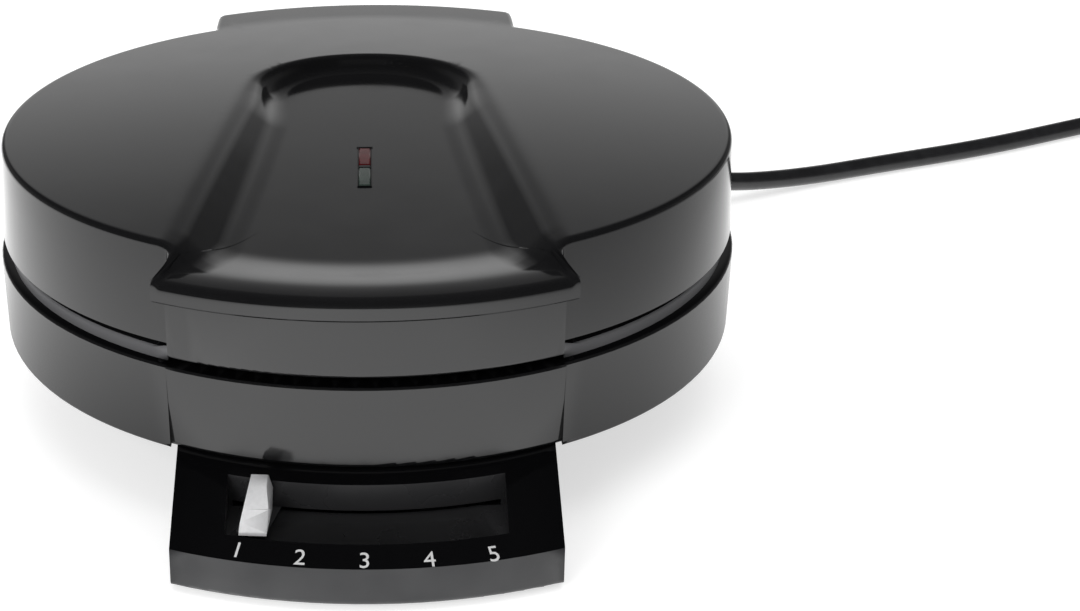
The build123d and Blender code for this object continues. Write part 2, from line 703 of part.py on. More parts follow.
outer_section = rounded(dome_section(0, lid_bottom_z), lid_edge_round, (lid_rim_radius, lid_rim_z))
hood = prism(block_plan, lid_bottom_z, lid_rim_z)
hood_top_edges = hood.edges().group_by(Axis.Z)[-1]
hood_top_edges = [edge for edge in hood_top_edges if edge.center().Y > hood_root_y + 1]
hood = fillet(hood_top_edges, lid_edge_round)
lip_inner_radius = lid_rim_radius - 10.0
lip_section = outline((lip_inner_radius, lip_foot_z), (lip_radius, lip_foot_z), (lip_radius, lip_top_z + 0.2),
                      (lip_radius - scoop_end_inset, lip_top_z + 0.2), (lid_rim_radius, lid_rim_z),
                      (lip_inner_radius, lid_rim_z))
lip_section = rounded(lip_section, lip_edge_round, (lip_radius, lip_top_z + 0.2))
lip_section = bevelled(lip_section, rim_edge_bevel, (lip_radius, lip_foot_z))
lip_plan = make_face(Polyline(
    (-lip_root_half_width, 0), (-lip_root_half_width, -lip_root_y), (-lip_half_width, -lip_corner_y),
    (-lip_half_width, -big), (lip_half_width, -big), (lip_half_width, -lip_corner_y),
    (lip_root_half_width, -lip_root_y), (lip_root_half_width, 0), close=True))
lip = revolve(lip_section, Axis.Z, 360) & prism(lip_plan, 0, big)
lid_body = revolve(outer_section, Axis.Z, 360) + hood + lip

lid_hollow = revolve(dome_section(wall, lid_bottom_z - 0.5), Axis.Z, 360)
lid_hollow += prism(block_inner_plan, 0, lid_rim_z - wall)
liner = prism(offset(scoop_plan(), wall), 0, big) & scoop_region(wall)
scoop_mouth_z = lid_rim_z + 0.9
scoop_cutter = extrude(Pos(0, 0, scoop_mouth_z) * scoop_plan(), amount=scoop_depth + 2,
                       dir=(0, 0, -1), taper=scoop_wall_slope)
foot_taper_start_z = scoop_floor_z + scoop_foot_rise
foot_set_in = (scoop_mouth_z - foot_taper_start_z) * math.tan(math.radians(scoop_wall_slope))
scoop_cutter &= prism(scoop_plan(), foot_taper_start_z, scoop_mouth_z) + extrude(
    Pos(0, 0, foot_taper_start_z) * offset(scoop_plan(), -foot_set_in), amount=scoop_foot_rise + 0.5,
    dir=(0, 0, -1), taper=scoop_foot_slope)
scoop_cutter += prism(scoop_plan(), scoop_mouth_z, scoop_mouth_z + 20)
scoop_cutter &= scoop_region(0)
lid_shell = lid_body - lid_hollow + (liner & lid_body) - scoop_cutter
shell_notch = ring((lid_front_radius - lid_front_depth - 0.4, 0), (big, 0), (big, lip_foot_z),
                   (lid_front_radius - lid_front_depth - 0.4, lip_foot_z))
shell_notch &= front_slab(lid_front_half_width + seat_gap)
lid_shell -= shell_notch
lens_foot_y = lens_rear_y - 2 * lens_length - lens_divider
slot_half_width = lens_width / 2 + lens_side_gap
for foot_y in (lens_rear_y - lens_length, lens_foot_y):
    lid_shell -= slab(-slot_half_width, slot_half_width, foot_y - lens_side_gap,
                      foot_y + lens_length + lens_side_gap, 0, big)

# Lugs of the lid reach down between the cheeks of the hinge block
lugs = Part()
for side in (-1, 1):
    low_x, high_x = sorted((side * lug_inner_x, side * (lug_inner_x + lug_width)))
    lugs += cross_bar(lug_radius, low_x, high_x, hinge_y, hinge_z)
    lugs += slab(low_x, high_x, hinge_y - lug_radius, hinge_y + lug_radius - web_set_in, hinge_z,
                 lid_rim_z - wall / 2)
lid_shell += lugs
lid_shell -= cross_bar(pin_radius + running_gap, -big, big, hinge_y, hinge_z)

# Hollow posts under the roof reach down to the upper heat shield, round the heads of its screws
upper_shield, upper_shield_near, upper_shield_far = heat_shield(upper_plate_foot, -1)
lid_posts = Part()
for x, y in boss_points():
    lid_posts += disc(boss_radius, upper_shield_far + seat_gap, lid_rim_z, x, y)
lid_posts &= revolve(dome_section(wall / 2, 0), Axis.Z, 360)
lid_shell += lid_posts
for x, y in boss_points():
    lid_shell -= disc(screw_head_radius + 0.8, 0, upper_shield_far + screw_head_height + 2, x, y)
save("lid_shell", lid_shell)

# Front body under the lip: a channel closed at both ends and bottom
front_z = rim_z + lid_front_lift
channel_section = outline((lid_front_radius - lid_front_depth, front_z), (lid_front_radius, front_z),
                          (lid_front_radius, lip_foot_z - seat_gap),
                          (lid_front_radius - lid_front_depth, lip_foot_z - seat_gap))
channel_section = rounded(channel_section, 1.2, (lid_front_radius, front_z))
front_channel = revolve(channel_section, Axis.Z, 360) & front_slab(lid_front_half_width)
channel_hollow = ring((lid_front_radius - lid_front_depth + 2, front_z + wall),
                      (lid_front_radius - 2, front_z + wall), (lid_front_radius - 2, big),
                      (lid_front_radius - lid_front_depth + 2, big))
front_channel -= channel_hollow & front_slab(lid_front_half_width - wall)
save("handle_lower_shell", front_channel)

lid_frame_height = 9.0
lid_frame_foot_z = lid_bottom_z + seat_gap
lid_frame_outer = lid_skirt_radius - wall - 2 * seat_gap
lid_frame = ring((seat_radius, lid_frame_foot_z), (lid_frame_outer, lid_frame_foot_z),
                 (lid_frame_outer - 0.1, lid_frame_foot_z + 2), (seat_radius + 2, lid_frame_foot_z + 2),
                 (seat_radius + 2, lid_frame_foot_z + lid_frame_height),
                 (seat_radius, lid_frame_foot_z + lid_frame_height))
frame_notch = ring((lid_front_radius - lid_front_depth - 0.4, 0), (big, 0), (big, big),
                   (lid_front_radius - lid_front_depth - 0.4, big))
lid_frame -= frame_notch & front_slab(lid_front_half_width + 1)
save("lid_frame", lid_frame)

upper_plate = waffle_plate(upper_plate_foot, -1)
for x, y in boss_points():
    upper_plate += disc(boss_radius, upper_plate_top - 1, upper_shield_near - seat_gap, x, y)
for x, y in boss_points():
    upper_plate -= disc(screw_radius + running_gap, upper_plate_top - 2, big, x, y)
save("upper_waffle_plate", upper_plate)
save("upper_heating_element", heating_element(upper_plate_foot, -1))
for x, y in boss_points():
    upper_shield -= disc(screw_radius + 0.3, 0, big, x, y)
save("upper_heat_shield", upper_shield)
plate_screws = Part()
for x, y in boss_points():
    plate_screws += screw(x, y, upper_shield_far + running_gap, 5.0, False)
save("upper_plate_screws", plate_screws)

# Two pilot lights in the floor of the scoop
lens_top_z = scoop_floor_z + lens_proud
lens_foot_z = scoop_floor_z - wall - 1.2


def lens(rear_y):
    """One lens: a hollow bar with rounded shoulders, flanged under the floor."""
    bar = slab(-lens_width / 2, lens_width / 2, rear_y - lens_length, rear_y, lens_foot_z, lens_top_z)
    bar = fillet(bar.edges().group_by(Axis.Z)[-1], lens_edge_round)
    bar += slab(-lens_width / 2 - lens_flange, lens_width / 2 + lens_flange, rear_y - lens_length, rear_y,
                lens_foot_z, scoop_floor_z - wall - seat_gap)
    return bar - slab(-lens_width / 2 + 0.8, lens_width / 2 - 0.8, rear_y - lens_length + 0.8,
                      rear_y - 0.8, 0, lens_top_z - 1.4)


save("red_lens", lens(lens_rear_y))
save("green_lens", lens(lens_foot_y + lens_length))
lamp_holder = slab(-lens_width / 2 - lens_flange, lens_width / 2 + lens_flange, lens_foot_y - 2, lens_rear_y + 2,
                   upper_shield_far + running_gap, lens_foot_z - running_gap)
save("lamp_holder", lamp_holder)
neon_lamps = Part()
for rear_y in (lens_rear_y, lens_foot_y + lens_length):
    lamp = Pos(0, rear_y - lens_length / 2, lens_foot_z + lamp_radius) * Rot(90, 0, 0)
    neon_lamps += lamp * Cylinder(lamp_radius, lens_length - 4)
save("neon_lamps", neon_lamps)


# Mains cord: strain relief, free stretch on the table, put-away coil and plug
knuckle = Vector(hood_half_width + relief_root_radius + 0.5, cord_exit_y, cord_exit_height)
relief_way = Vector(0.908, 0.330, -0.259).normalized()
relief_plane = Plane(knuckle, z_dir=relief_way)
relief_section = make_face(Polyline((0, 0), (relief_root_radius, 0), (relief_tip_radius, relief_length),
                                    (0, relief_length), close=True))
relief = relief_plane * (Rot(90, 0, 0) * revolve(relief_section, Axis.Y, 360))
relief += cross_bar(relief_root_radius, hood_half_width - 4.4, knuckle.X, cord_exit_y, cord_exit_height)
relief += Pos(knuckle) * Sphere(relief_root_radius)
for step in range(1, 6):
    radius = relief_root_radius - step * 0.2
    groove = Cylinder(radius + 2, 1.2) - Cylinder(radius - 0.9, 1.2)
    relief -= relief_plane * (Pos(0, 0, step * relief_length / 6.5) * groove)
relief_socket = 8.0
relief -= relief_plane * (Pos(0, 0, relief_length) * Cylinder(cord_radius + relief_bore_gap, 2 * relief_socket))
save("strain_relief", relief)


def bend_radii(points):
    """The largest gentle radius for each bend of a run of points, in millimetres."""
    radii = []
    for before, here, after in zip(points, points[1:], points[2:]):
        first = Vector(*here) - Vector(*before)
        second = Vector(*after) - Vector(*here)
        turn = math.radians(first.get_angle(second))
        radii.append(0.45 * min(first.length, second.length) / math.tan(turn / 2))
    return radii


def tube(path):
    """A round tube of the cord's section swept along a path."""
    return sweep(Plane(path @ 0, z_dir=path % 0) * Circle(cord_radius), path)


cord_start = knuckle + relief_way * (relief_length - relief_socket + 0.5)
entry = Vector(365.0, 247.0, cord_radius)
heading = Vector(math.cos(math.radians(28.0)), math.sin(math.radians(28.0)), 0)
cord_end = entry - heading * 8.0
cord_points = [tuple(cord_start), tuple(cord_start + relief_way * 30.0), (136.0, 139.0, 8.6), (172.0, 156.0, 3.9),
               (212.0, 173.0, cord_radius), (256.0, 190.0, cord_radius), (300.0, 212.6, cord_radius),
               tuple(cord_end)]
cord_path = FilletPolyline(*cord_points, radius=bend_radii(cord_points))
save("mains_cord", tube(cord_path))

side_way = Vector(heading.Y, -heading.X, 0)
outer_turn = coil_mean_radius + coil_pitch / 2
middle_turn = outer_turn - coil_pitch / 2
inner_turn = middle_turn - coil_pitch / 2
lift = Vector(0, 0, coil_pitch)


def half_turn(start, way, radius, rise):
    """A half turn to the right as two arcs that leave and arrive level."""
    end = start + side_way * (2 * radius * (1 if way > 0 else -1)) + rise
    ahead = heading * way
    reach = (end - start).length / 2
    middle = (start + end) * 0.5 + ahead * reach
    first = TangentArc(start, middle, tangent=ahead)
    second = TangentArc(middle, end, tangent=first % 1)
    return first, second, end


coil_edges = [Line(cord_end + heading * 0.1, entry)]
spot = entry
for way, radius, rise in ((1, outer_turn, 0), (-1, middle_turn, 0), (1, inner_turn, 1), (-1, middle_turn, 0)):
    first, second, spot = half_turn(spot, way, radius, lift * rise)
    coil_edges += [first, second]
last_middle = spot + side_way * outer_turn + heading * outer_turn
last_arc = TangentArc(spot, last_middle, tangent=heading)
level_end = last_middle + side_way * 10.0
plug_lift = plug_body_radius - level_end.Z
climb_run = 44.0
climb_middle = level_end + side_way * (climb_run / 2) + Vector(0, 0, plug_lift / 2)
climb_end = level_end + side_way * climb_run + Vector(0, 0, plug_lift)
climb_first = TangentArc(level_end, climb_middle, tangent=side_way)
climb_second = TangentArc(climb_middle, climb_end, tangent=climb_first % 1)
plug_root = climb_end + side_way * 10.0
coil_end = plug_root + side_way * 5.0
coil_edges += [last_arc, Line(last_middle, level_end), climb_first, climb_second,
               Line(climb_end, coil_end)]
coil_path = Wire(coil_edges)
save("cord_coil", tube(coil_path))

plug_plane = Plane(plug_root, z_dir=side_way)
plug_section = make_face(Polyline(
    (0, 0), (6.0, 0), (7.5, 10), (13.0, 16), (14.0, plug_body_length - 10),
    (plug_body_radius, plug_body_length - 8), (plug_body_radius, plug_body_length),
    (0, plug_body_length), close=True))
plug_body = plug_plane * (Rot(90, 0, 0) * revolve(plug_section, Axis.Y, 360))
plug_body -= plug_plane * Cylinder(cord_radius + relief_bore_gap, 10.4)
plug_pins = Part()
for side in (-1, 1):
    spot = Pos(side * plug_pin_spacing / 2, 0, plug_body_length + (plug_pin_length - 8) / 2)
    plug_pins += plug_plane * (spot * Cylinder(plug_pin_radius, plug_pin_length + 8))
    hole = Pos(side * plug_pin_spacing / 2, 0, plug_body_length - 4) * Cylinder(plug_pin_radius + 0.05, 8.2)
    plug_body -= plug_plane * hole
save("plug_body", plug_body)
save("plug_pins", plug_pins)

cord_length = cord_path.length + coil_path.length
print("cord length", round(cord_length), "bend radii", [round(r) for r in bend_radii(cord_points)])
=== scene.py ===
"""A round heart waffle iron on a pale table: looks, camera and light."""

import json
import logging
import math
from dataclasses import dataclass, field
from enum import Enum

import bmesh
import bpy
import numpy as np
from mathutils import Matrix, Vector

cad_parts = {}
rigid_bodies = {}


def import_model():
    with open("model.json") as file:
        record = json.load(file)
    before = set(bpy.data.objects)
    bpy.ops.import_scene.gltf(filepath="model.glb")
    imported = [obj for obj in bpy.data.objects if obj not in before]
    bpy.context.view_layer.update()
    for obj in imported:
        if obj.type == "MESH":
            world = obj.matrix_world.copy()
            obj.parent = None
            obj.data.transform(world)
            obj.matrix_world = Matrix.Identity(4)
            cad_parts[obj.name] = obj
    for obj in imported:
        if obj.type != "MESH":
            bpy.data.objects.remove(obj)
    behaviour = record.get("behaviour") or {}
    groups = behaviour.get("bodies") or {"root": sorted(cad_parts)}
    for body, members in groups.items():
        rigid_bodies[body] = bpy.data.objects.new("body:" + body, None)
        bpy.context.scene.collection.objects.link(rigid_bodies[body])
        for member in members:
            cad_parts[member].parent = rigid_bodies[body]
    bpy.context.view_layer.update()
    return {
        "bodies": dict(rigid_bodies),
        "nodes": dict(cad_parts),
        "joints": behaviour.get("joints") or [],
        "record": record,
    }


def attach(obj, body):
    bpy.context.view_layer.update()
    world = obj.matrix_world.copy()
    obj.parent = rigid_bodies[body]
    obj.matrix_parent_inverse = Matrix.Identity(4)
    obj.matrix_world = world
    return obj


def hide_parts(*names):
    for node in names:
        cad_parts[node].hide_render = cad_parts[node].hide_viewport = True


log = logging.getLogger("waffle_iron")
MM = 0.001
AXIS_Y = 6.25
OUTSIDE = -50.0
Colour = tuple[float, float, float]
Socket = bpy.types.NodeSocket


class Side(Enum):
    """The two ends of a left and right pair."""

    LEFT = -1
    RIGHT = 1


def new_object(name: str, mesh: bpy.types.Mesh) -> bpy.types.Object:
    """Puts a mesh in the scene as an object at the origin.

    Args:
        name: The piece's name.
        mesh: Its mesh, with its place in its vertices.

    Returns:
        The new object.
    """
    made = bpy.data.objects.new(name, mesh)
    bpy.context.scene.collection.objects.link(made)
    return made


def shade_by_angle(mesh: bpy.types.Mesh, degrees: float) -> None:
    """Shades a mesh smooth, but sharp along edges that turn more than an angle.

    Args:
        mesh: The mesh to shade.
        degrees: The angle past which an edge stays sharp.
    """
    mesh.shade_smooth()
    mesh.set_sharp_from_angle(angle=math.radians(degrees))


def mesh_from(name: str, points: np.ndarray, faces: list[tuple[int, ...]],
              degrees: float = 40.0) -> bpy.types.Mesh:
    """Makes a merged mesh with outward faces from points in millimetres about the disc axis.

    Args:
        name: The mesh's name.
        points: One row of x, y and z for each vertex.
        faces: The vertex numbers of each face.
        degrees: The angle past which an edge stays sharp.

    Returns:
        The mesh, in metres in the row frame.
    """
    mesh = bpy.data.meshes.new(name)
    placed = (np.asarray(points, float) + np.array([0.0, AXIS_Y, 0.0])) * MM
    mesh.from_pydata(placed.tolist(), [], faces)
    work = bmesh.new()
    work.from_mesh(mesh)
    bmesh.ops.remove_doubles(work, verts=work.verts, dist=4e-6)
    bmesh.ops.dissolve_degenerate(work, edges=work.edges, dist=2e-6)
    bmesh.ops.recalc_face_normals(work, faces=work.faces)
    work.to_mesh(mesh)
    work.free()
    shade_by_angle(mesh, degrees)
    return mesh


def smooth_step(share: np.ndarray) -> np.ndarray:
    """Eases a share that runs from 0 to 1 at both of its ends."""
    return share * share * (3 - 2 * share)


class NodeBench:
    """A node tree under construction, with short ways to add and join nodes."""

    def __init__(self, tree: bpy.types.NodeTree) -> None:
        """Starts on an emptied tree."""
        self.tree = tree
        self.tree.nodes.clear()

    def add(self, kind: str, **settings: object) -> bpy.types.Node:
        """Adds a node and sets its properties.

        Args:
            kind: The node's type name.
            settings: Properties of the node, by name.

        Returns:
            The node.
        """
        node = self.tree.nodes.new(kind)
        for key, value in settings.items():
            setattr(node, key, value)
        return node

    def join(self, source: Socket, target: Socket) -> None:
        """Joins an output to an input."""
        self.tree.links.new(source, target)

    def maths(self, operation: str, first: Socket, second: Socket | float = 0.0) -> Socket:
        """One sum on a value.

        Args:
            operation: The Math node's operation.
            first: The value.
            second: The second value, where the operation has one.

        Returns:
            The result's output.
        """
        node = self.add("ShaderNodeMath", operation=operation)
        self.join(first, node.inputs[0])
        if isinstance(second, float):
            node.inputs[1].default_value = second
        else:
            self.join(second, node.inputs[1])
        return node.outputs[0]

    def spread(self, source: Socket, low: float, high: float, start: float = 0.3, stop: float = 0.7) -> Socket:
        """Maps a factor to a range of values.

        Args:
            source: The factor.
            low: The value at the factor's start.
            high: The value at its stop.
            start: The factor that gives the low value.
            stop: The factor that gives the high value.

        Returns:
            The mapped value's output.
        """
        node = self.add("ShaderNodeMapRange")
        for name, value in (("From Min", start), ("From Max", stop), ("To Min", low), ("To Max", high)):
            node.inputs[name].default_value = value
        self.join(source, node.inputs["Value"])
        return node.outputs["Result"]

    def ramp(self, source: Socket, stops: tuple[tuple[float, Colour], ...]) -> Socket:
        """Maps a factor to a colour.

        Args:
            source: The factor, from 0 to 1.
            stops: The places along it, each with its linear colour.

        Returns:
            The colour's output.
        """
        node = self.add("ShaderNodeValToRGB")
        elements = node.color_ramp.elements
        while len(elements) < len(stops):
            elements.new(0.5)
        for element, (position, colour) in zip(elements, stops):
            element.position = position
            element.color = (*colour, 1.0)
        self.join(source, node.inputs["Fac"])
        return node.outputs["Color"]

    def levels(self, source: Socket, stops: tuple[tuple[float, float], ...]) -> Socket:
        """Maps a factor to a level of light, by places along it and their levels."""
        return self.ramp(source, tuple((position, (level, level, level)) for position, level in stops))

    def mixed(self, factor: Socket, first: Socket, second: Socket) -> Socket:
        """Mixes two shaders: the second one shows where the factor is 1.

        Args:
            factor: The factor.
            first: The shader at 0.
            second: The shader at 1.

        Returns:
            The mixed shader's output.
        """
        node = self.add("ShaderNodeMixShader")
        for source, target in zip((factor, first, second), node.inputs):
            self.join(source, target)
        return node.outputs[0]

    def place(self, output: str) -> tuple[Socket, dict[str, Socket]]:
        """The place that a ray meets.

        Args:
            output: The Texture Coordinate node's output.

        Returns:
            The place, and its outputs X, Y and Z.
        """
        whole = self.add("ShaderNodeTexCoord").outputs[output]
        split = self.add("ShaderNodeSeparateXYZ")
        self.join(whole, split.inputs[0])
        return whole, {socket.name: socket for socket in split.outputs}


class NodeChain(NodeBench):
    """A material under construction, with short ways to pattern its shader."""

    def __init__(self, name: str) -> None:
        """Starts an empty material with a Principled shader and its output.

        Args:
            name: The material's name.
        """
        self.material = bpy.data.materials.new(name)
        self.material.use_nodes = True
        super().__init__(self.material.node_tree)
        self.output = self.add("ShaderNodeOutputMaterial")
        self.shader = self.add("ShaderNodeBsdfPrincipled")
        self.join(self.shader.outputs[0], self.output.inputs["Surface"])

    def noise(self, scale: float, detail: float = 3.0, stretch: tuple[float, float, float] = (1.0, 1.0, 1.0)) -> Socket:
        """A noise pattern on object coordinates.

        Args:
            scale: Repeats for each metre.
            detail: Octaves of the noise.
            stretch: How far the pattern is drawn out along each axis.

        Returns:
            The noise's factor output.
        """
        place = self.add("ShaderNodeTexCoord")
        mapping = self.add("ShaderNodeMapping")
        mapping.inputs["Scale"].default_value = stretch
        texture = self.add("ShaderNodeTexNoise")
        texture.inputs["Scale"].default_value = scale
        texture.inputs["Detail"].default_value = detail
        self.join(place.outputs["Object"], mapping.inputs["Vector"])
        self.join(mapping.outputs["Vector"], texture.inputs["Vector"])
        return texture.outputs["Fac"]

    def tint(self, source: Socket, first: Colour, second: Colour) -> None:
        """Colours the shader between two colours by a factor.

        Args:
            source: The factor, from 0 to 1.
            first: Linear colour where it is low.
            second: Linear colour where it is high.
        """
        self.join(self.ramp(source, ((0.3, first), (0.7, second))), self.shader.inputs["Base Color"])

    def vary_roughness(self, source: Socket, roughness: float, low: float, high: float) -> None:
        """Varies the shader's roughness by a factor.

        Args:
            source: The factor, from 0 to 1.
            roughness: The roughness in the middle.
            low: The share of it where the factor is low.
            high: The share of it where the factor is high.
        """
        self.join(self.spread(source, roughness * low, roughness * high), self.shader.inputs["Roughness"])

    def bump(self, source: Socket, depth: float, strength: float = 1.0) -> None:
        """Raises the surface by a factor.

        Args:
            source: The height, from 0 to 1.
            depth: The full height in metres.
            strength: The share of the effect that is used.
        """
        node = self.add("ShaderNodeBump")
        node.inputs["Strength"].default_value = strength
        node.inputs["Distance"].default_value = depth
        self.join(source, node.inputs["Height"])
        self.join(node.outputs["Normal"], self.shader.inputs["Normal"])


@dataclass(frozen=True)
class MouldedPlastic:
    """Moulded plastic, from polished to fine matt."""

    name: str
    colour: Colour
    roughness: float
    texture_depth: float
    texture_scale: float = 900.0
    ior: float = 1.5

    def make(self) -> bpy.types.Material:
        """Builds the material: an even colour, a faint cloud in the polish and a fine skin.

        Returns:
            The material.
        """
        chain = NodeChain(self.name)
        chain.shader.inputs["IOR"].default_value = self.ior
        cloud = chain.noise(14.0, 4.0)
        chain.tint(cloud, self.colour, tuple(c * 1.25 for c in self.colour))
        rub = chain.noise(60.0, 5.0)
        chain.vary_roughness(rub, self.roughness, 0.8, 1.25)
        chain.bump(chain.noise(self.texture_scale, 2.0), self.texture_depth, 0.5)
        return chain.material


@dataclass(frozen=True)
class BareMetal:
    """Plain, drawn or plated metal."""

    name: str
    colour: Colour
    roughness: float
    grain: tuple[float, float, float] = (1.0, 1.0, 1.0)

    def make(self) -> bpy.types.Material:
        """Builds the material: a metal with faint stains and a drawn grain.

        Returns:
            The material.
        """
        chain = NodeChain(self.name)
        chain.shader.inputs["Metallic"].default_value = 1.0
        chain.tint(chain.noise(120.0, 4.0), tuple(c * 0.86 for c in self.colour), self.colour)
        streaks = chain.noise(700.0, 3.0, self.grain)
        chain.vary_roughness(streaks, self.roughness, 0.75, 1.3)
        chain.bump(streaks, 0.00002, 0.4)
        return chain.material


@dataclass(frozen=True)
class SilverCoat:
    """A satin silver coat on moulded plastic."""

    name: str
    colour: Colour
    roughness: float

    def make(self) -> bpy.types.Material:
        """Builds the material: pale flakes under a soft gloss.

        Returns:
            The material.
        """
        chain = NodeChain(self.name)
        chain.shader.inputs["Metallic"].default_value = 0.25
        chain.tint(chain.noise(900.0, 2.0), tuple(c * 0.93 for c in self.colour), self.colour)
        chain.vary_roughness(chain.noise(300.0, 3.0), self.roughness, 0.85, 1.2)
        chain.bump(chain.noise(3000.0, 2.0), 0.00001, 0.3)
        return chain.material


@dataclass(frozen=True)
class TintedLens:
    """A clear coloured lens over a lamp that is off."""

    name: str
    colour: Colour

    def make(self) -> bpy.types.Material:
        """Builds the material: deep coloured plastic with a clear skin.

        Returns:
            The material.
        """
        chain = NodeChain(self.name)
        chain.tint(chain.noise(400.0, 2.0), tuple(c * 0.7 for c in self.colour), self.colour)
        chain.shader.inputs["Roughness"].default_value = 0.22
        chain.shader.inputs["IOR"].default_value = 1.28
        chain.bump(chain.noise(900.0, 1.0), 0.00002, 0.3)
        return chain.material


@dataclass(frozen=True)
class FlexibleSheath:
    """The cord's soft sheath and the moulded rubber on it."""

    name: str
    colour: Colour
    roughness: float

    def make(self) -> bpy.types.Material:
        """Builds the material: dull black with a soft sheen and fine rub marks.

        Returns:
            The material.
        """
        chain = NodeChain(self.name)
        chain.tint(chain.noise(200.0, 4.0), self.colour, tuple(c * 1.6 for c in self.colour))
        chain.vary_roughness(chain.noise(350.0, 3.0), self.roughness, 0.85, 1.15)
        chain.bump(chain.noise(2500.0, 2.0), 0.00002, 0.4)
        return chain.material


@dataclass(frozen=True)
class PrintedInk:
    """Pale ink of the marks."""

    name: str
    colour: Colour

    def make(self) -> bpy.types.Material:
        """Builds the material: flat pale ink with slightly uneven cover.

        Returns:
            The material.
        """
        chain = NodeChain(self.name)
        chain.tint(chain.noise(2500.0, 2.0), tuple(c * 0.88 for c in self.colour), self.colour)
        chain.shader.inputs["Roughness"].default_value = 0.45
        return chain.material


class Finishes:
    """Every finish of the appliance, made once."""

    def __init__(self) -> None:
        """Makes the materials."""
        self.gloss = MouldedPlastic("gloss_black_housing", (0.006, 0.006, 0.0064), 0.125, 0.000003, 260.0, 1.56).make()
        self.panel = MouldedPlastic("polished_panel", (0.002, 0.002, 0.0023), 0.05, 0.000002, 220.0).make()
        self.window = MouldedPlastic("satin_window", (0.02, 0.02, 0.021), 0.28, 0.000004, 300.0).make()
        self.grey = MouldedPlastic("matt_grey_housing", (0.024, 0.0245, 0.026), 0.5, 0.00005, 1800.0).make()
        # pale finish that paints a highlight on the base's shoulder
        self.shoulder = MouldedPlastic("shoulder_painted_highlight", (0.1, 0.1, 0.104), 0.4, 0.00001, 900.0).make()
        self.cast = MouldedPlastic("coated_cast_plate", (0.02, 0.02, 0.021), 0.42, 0.00006, 1400.0).make()
        self.rubber = FlexibleSheath("rubber_feet", (0.02, 0.02, 0.02), 0.7).make()
        self.cord = FlexibleSheath("cord_sheath", (0.012, 0.012, 0.013), 0.33).make()
        self.silver = SilverCoat("satin_silver_knob", (0.86, 0.86, 0.87), 0.34).make()
        self.steel = BareMetal("plain_steel", (0.55, 0.55, 0.56), 0.32).make()
        self.sheath = BareMetal("element_sheath", (0.26, 0.25, 0.24), 0.45).make()
        self.nickel = BareMetal("nickel_pins", (0.72, 0.71, 0.68), 0.22).make()
        self.ceramic = MouldedPlastic("cream_ceramic", (0.62, 0.59, 0.52), 0.6, 0.00003, 1500.0).make()
        self.red = TintedLens("red_pilot_lens", (0.06, 0.004, 0.005)).make()
        self.green = TintedLens("green_pilot_lens", (0.03, 0.042, 0.036)).make()
        self.lamp = TintedLens("lamp_glass", (0.6, 0.55, 0.5)).make()
        self.ink = PrintedInk("pale_marks", (0.62, 0.62, 0.62)).make()


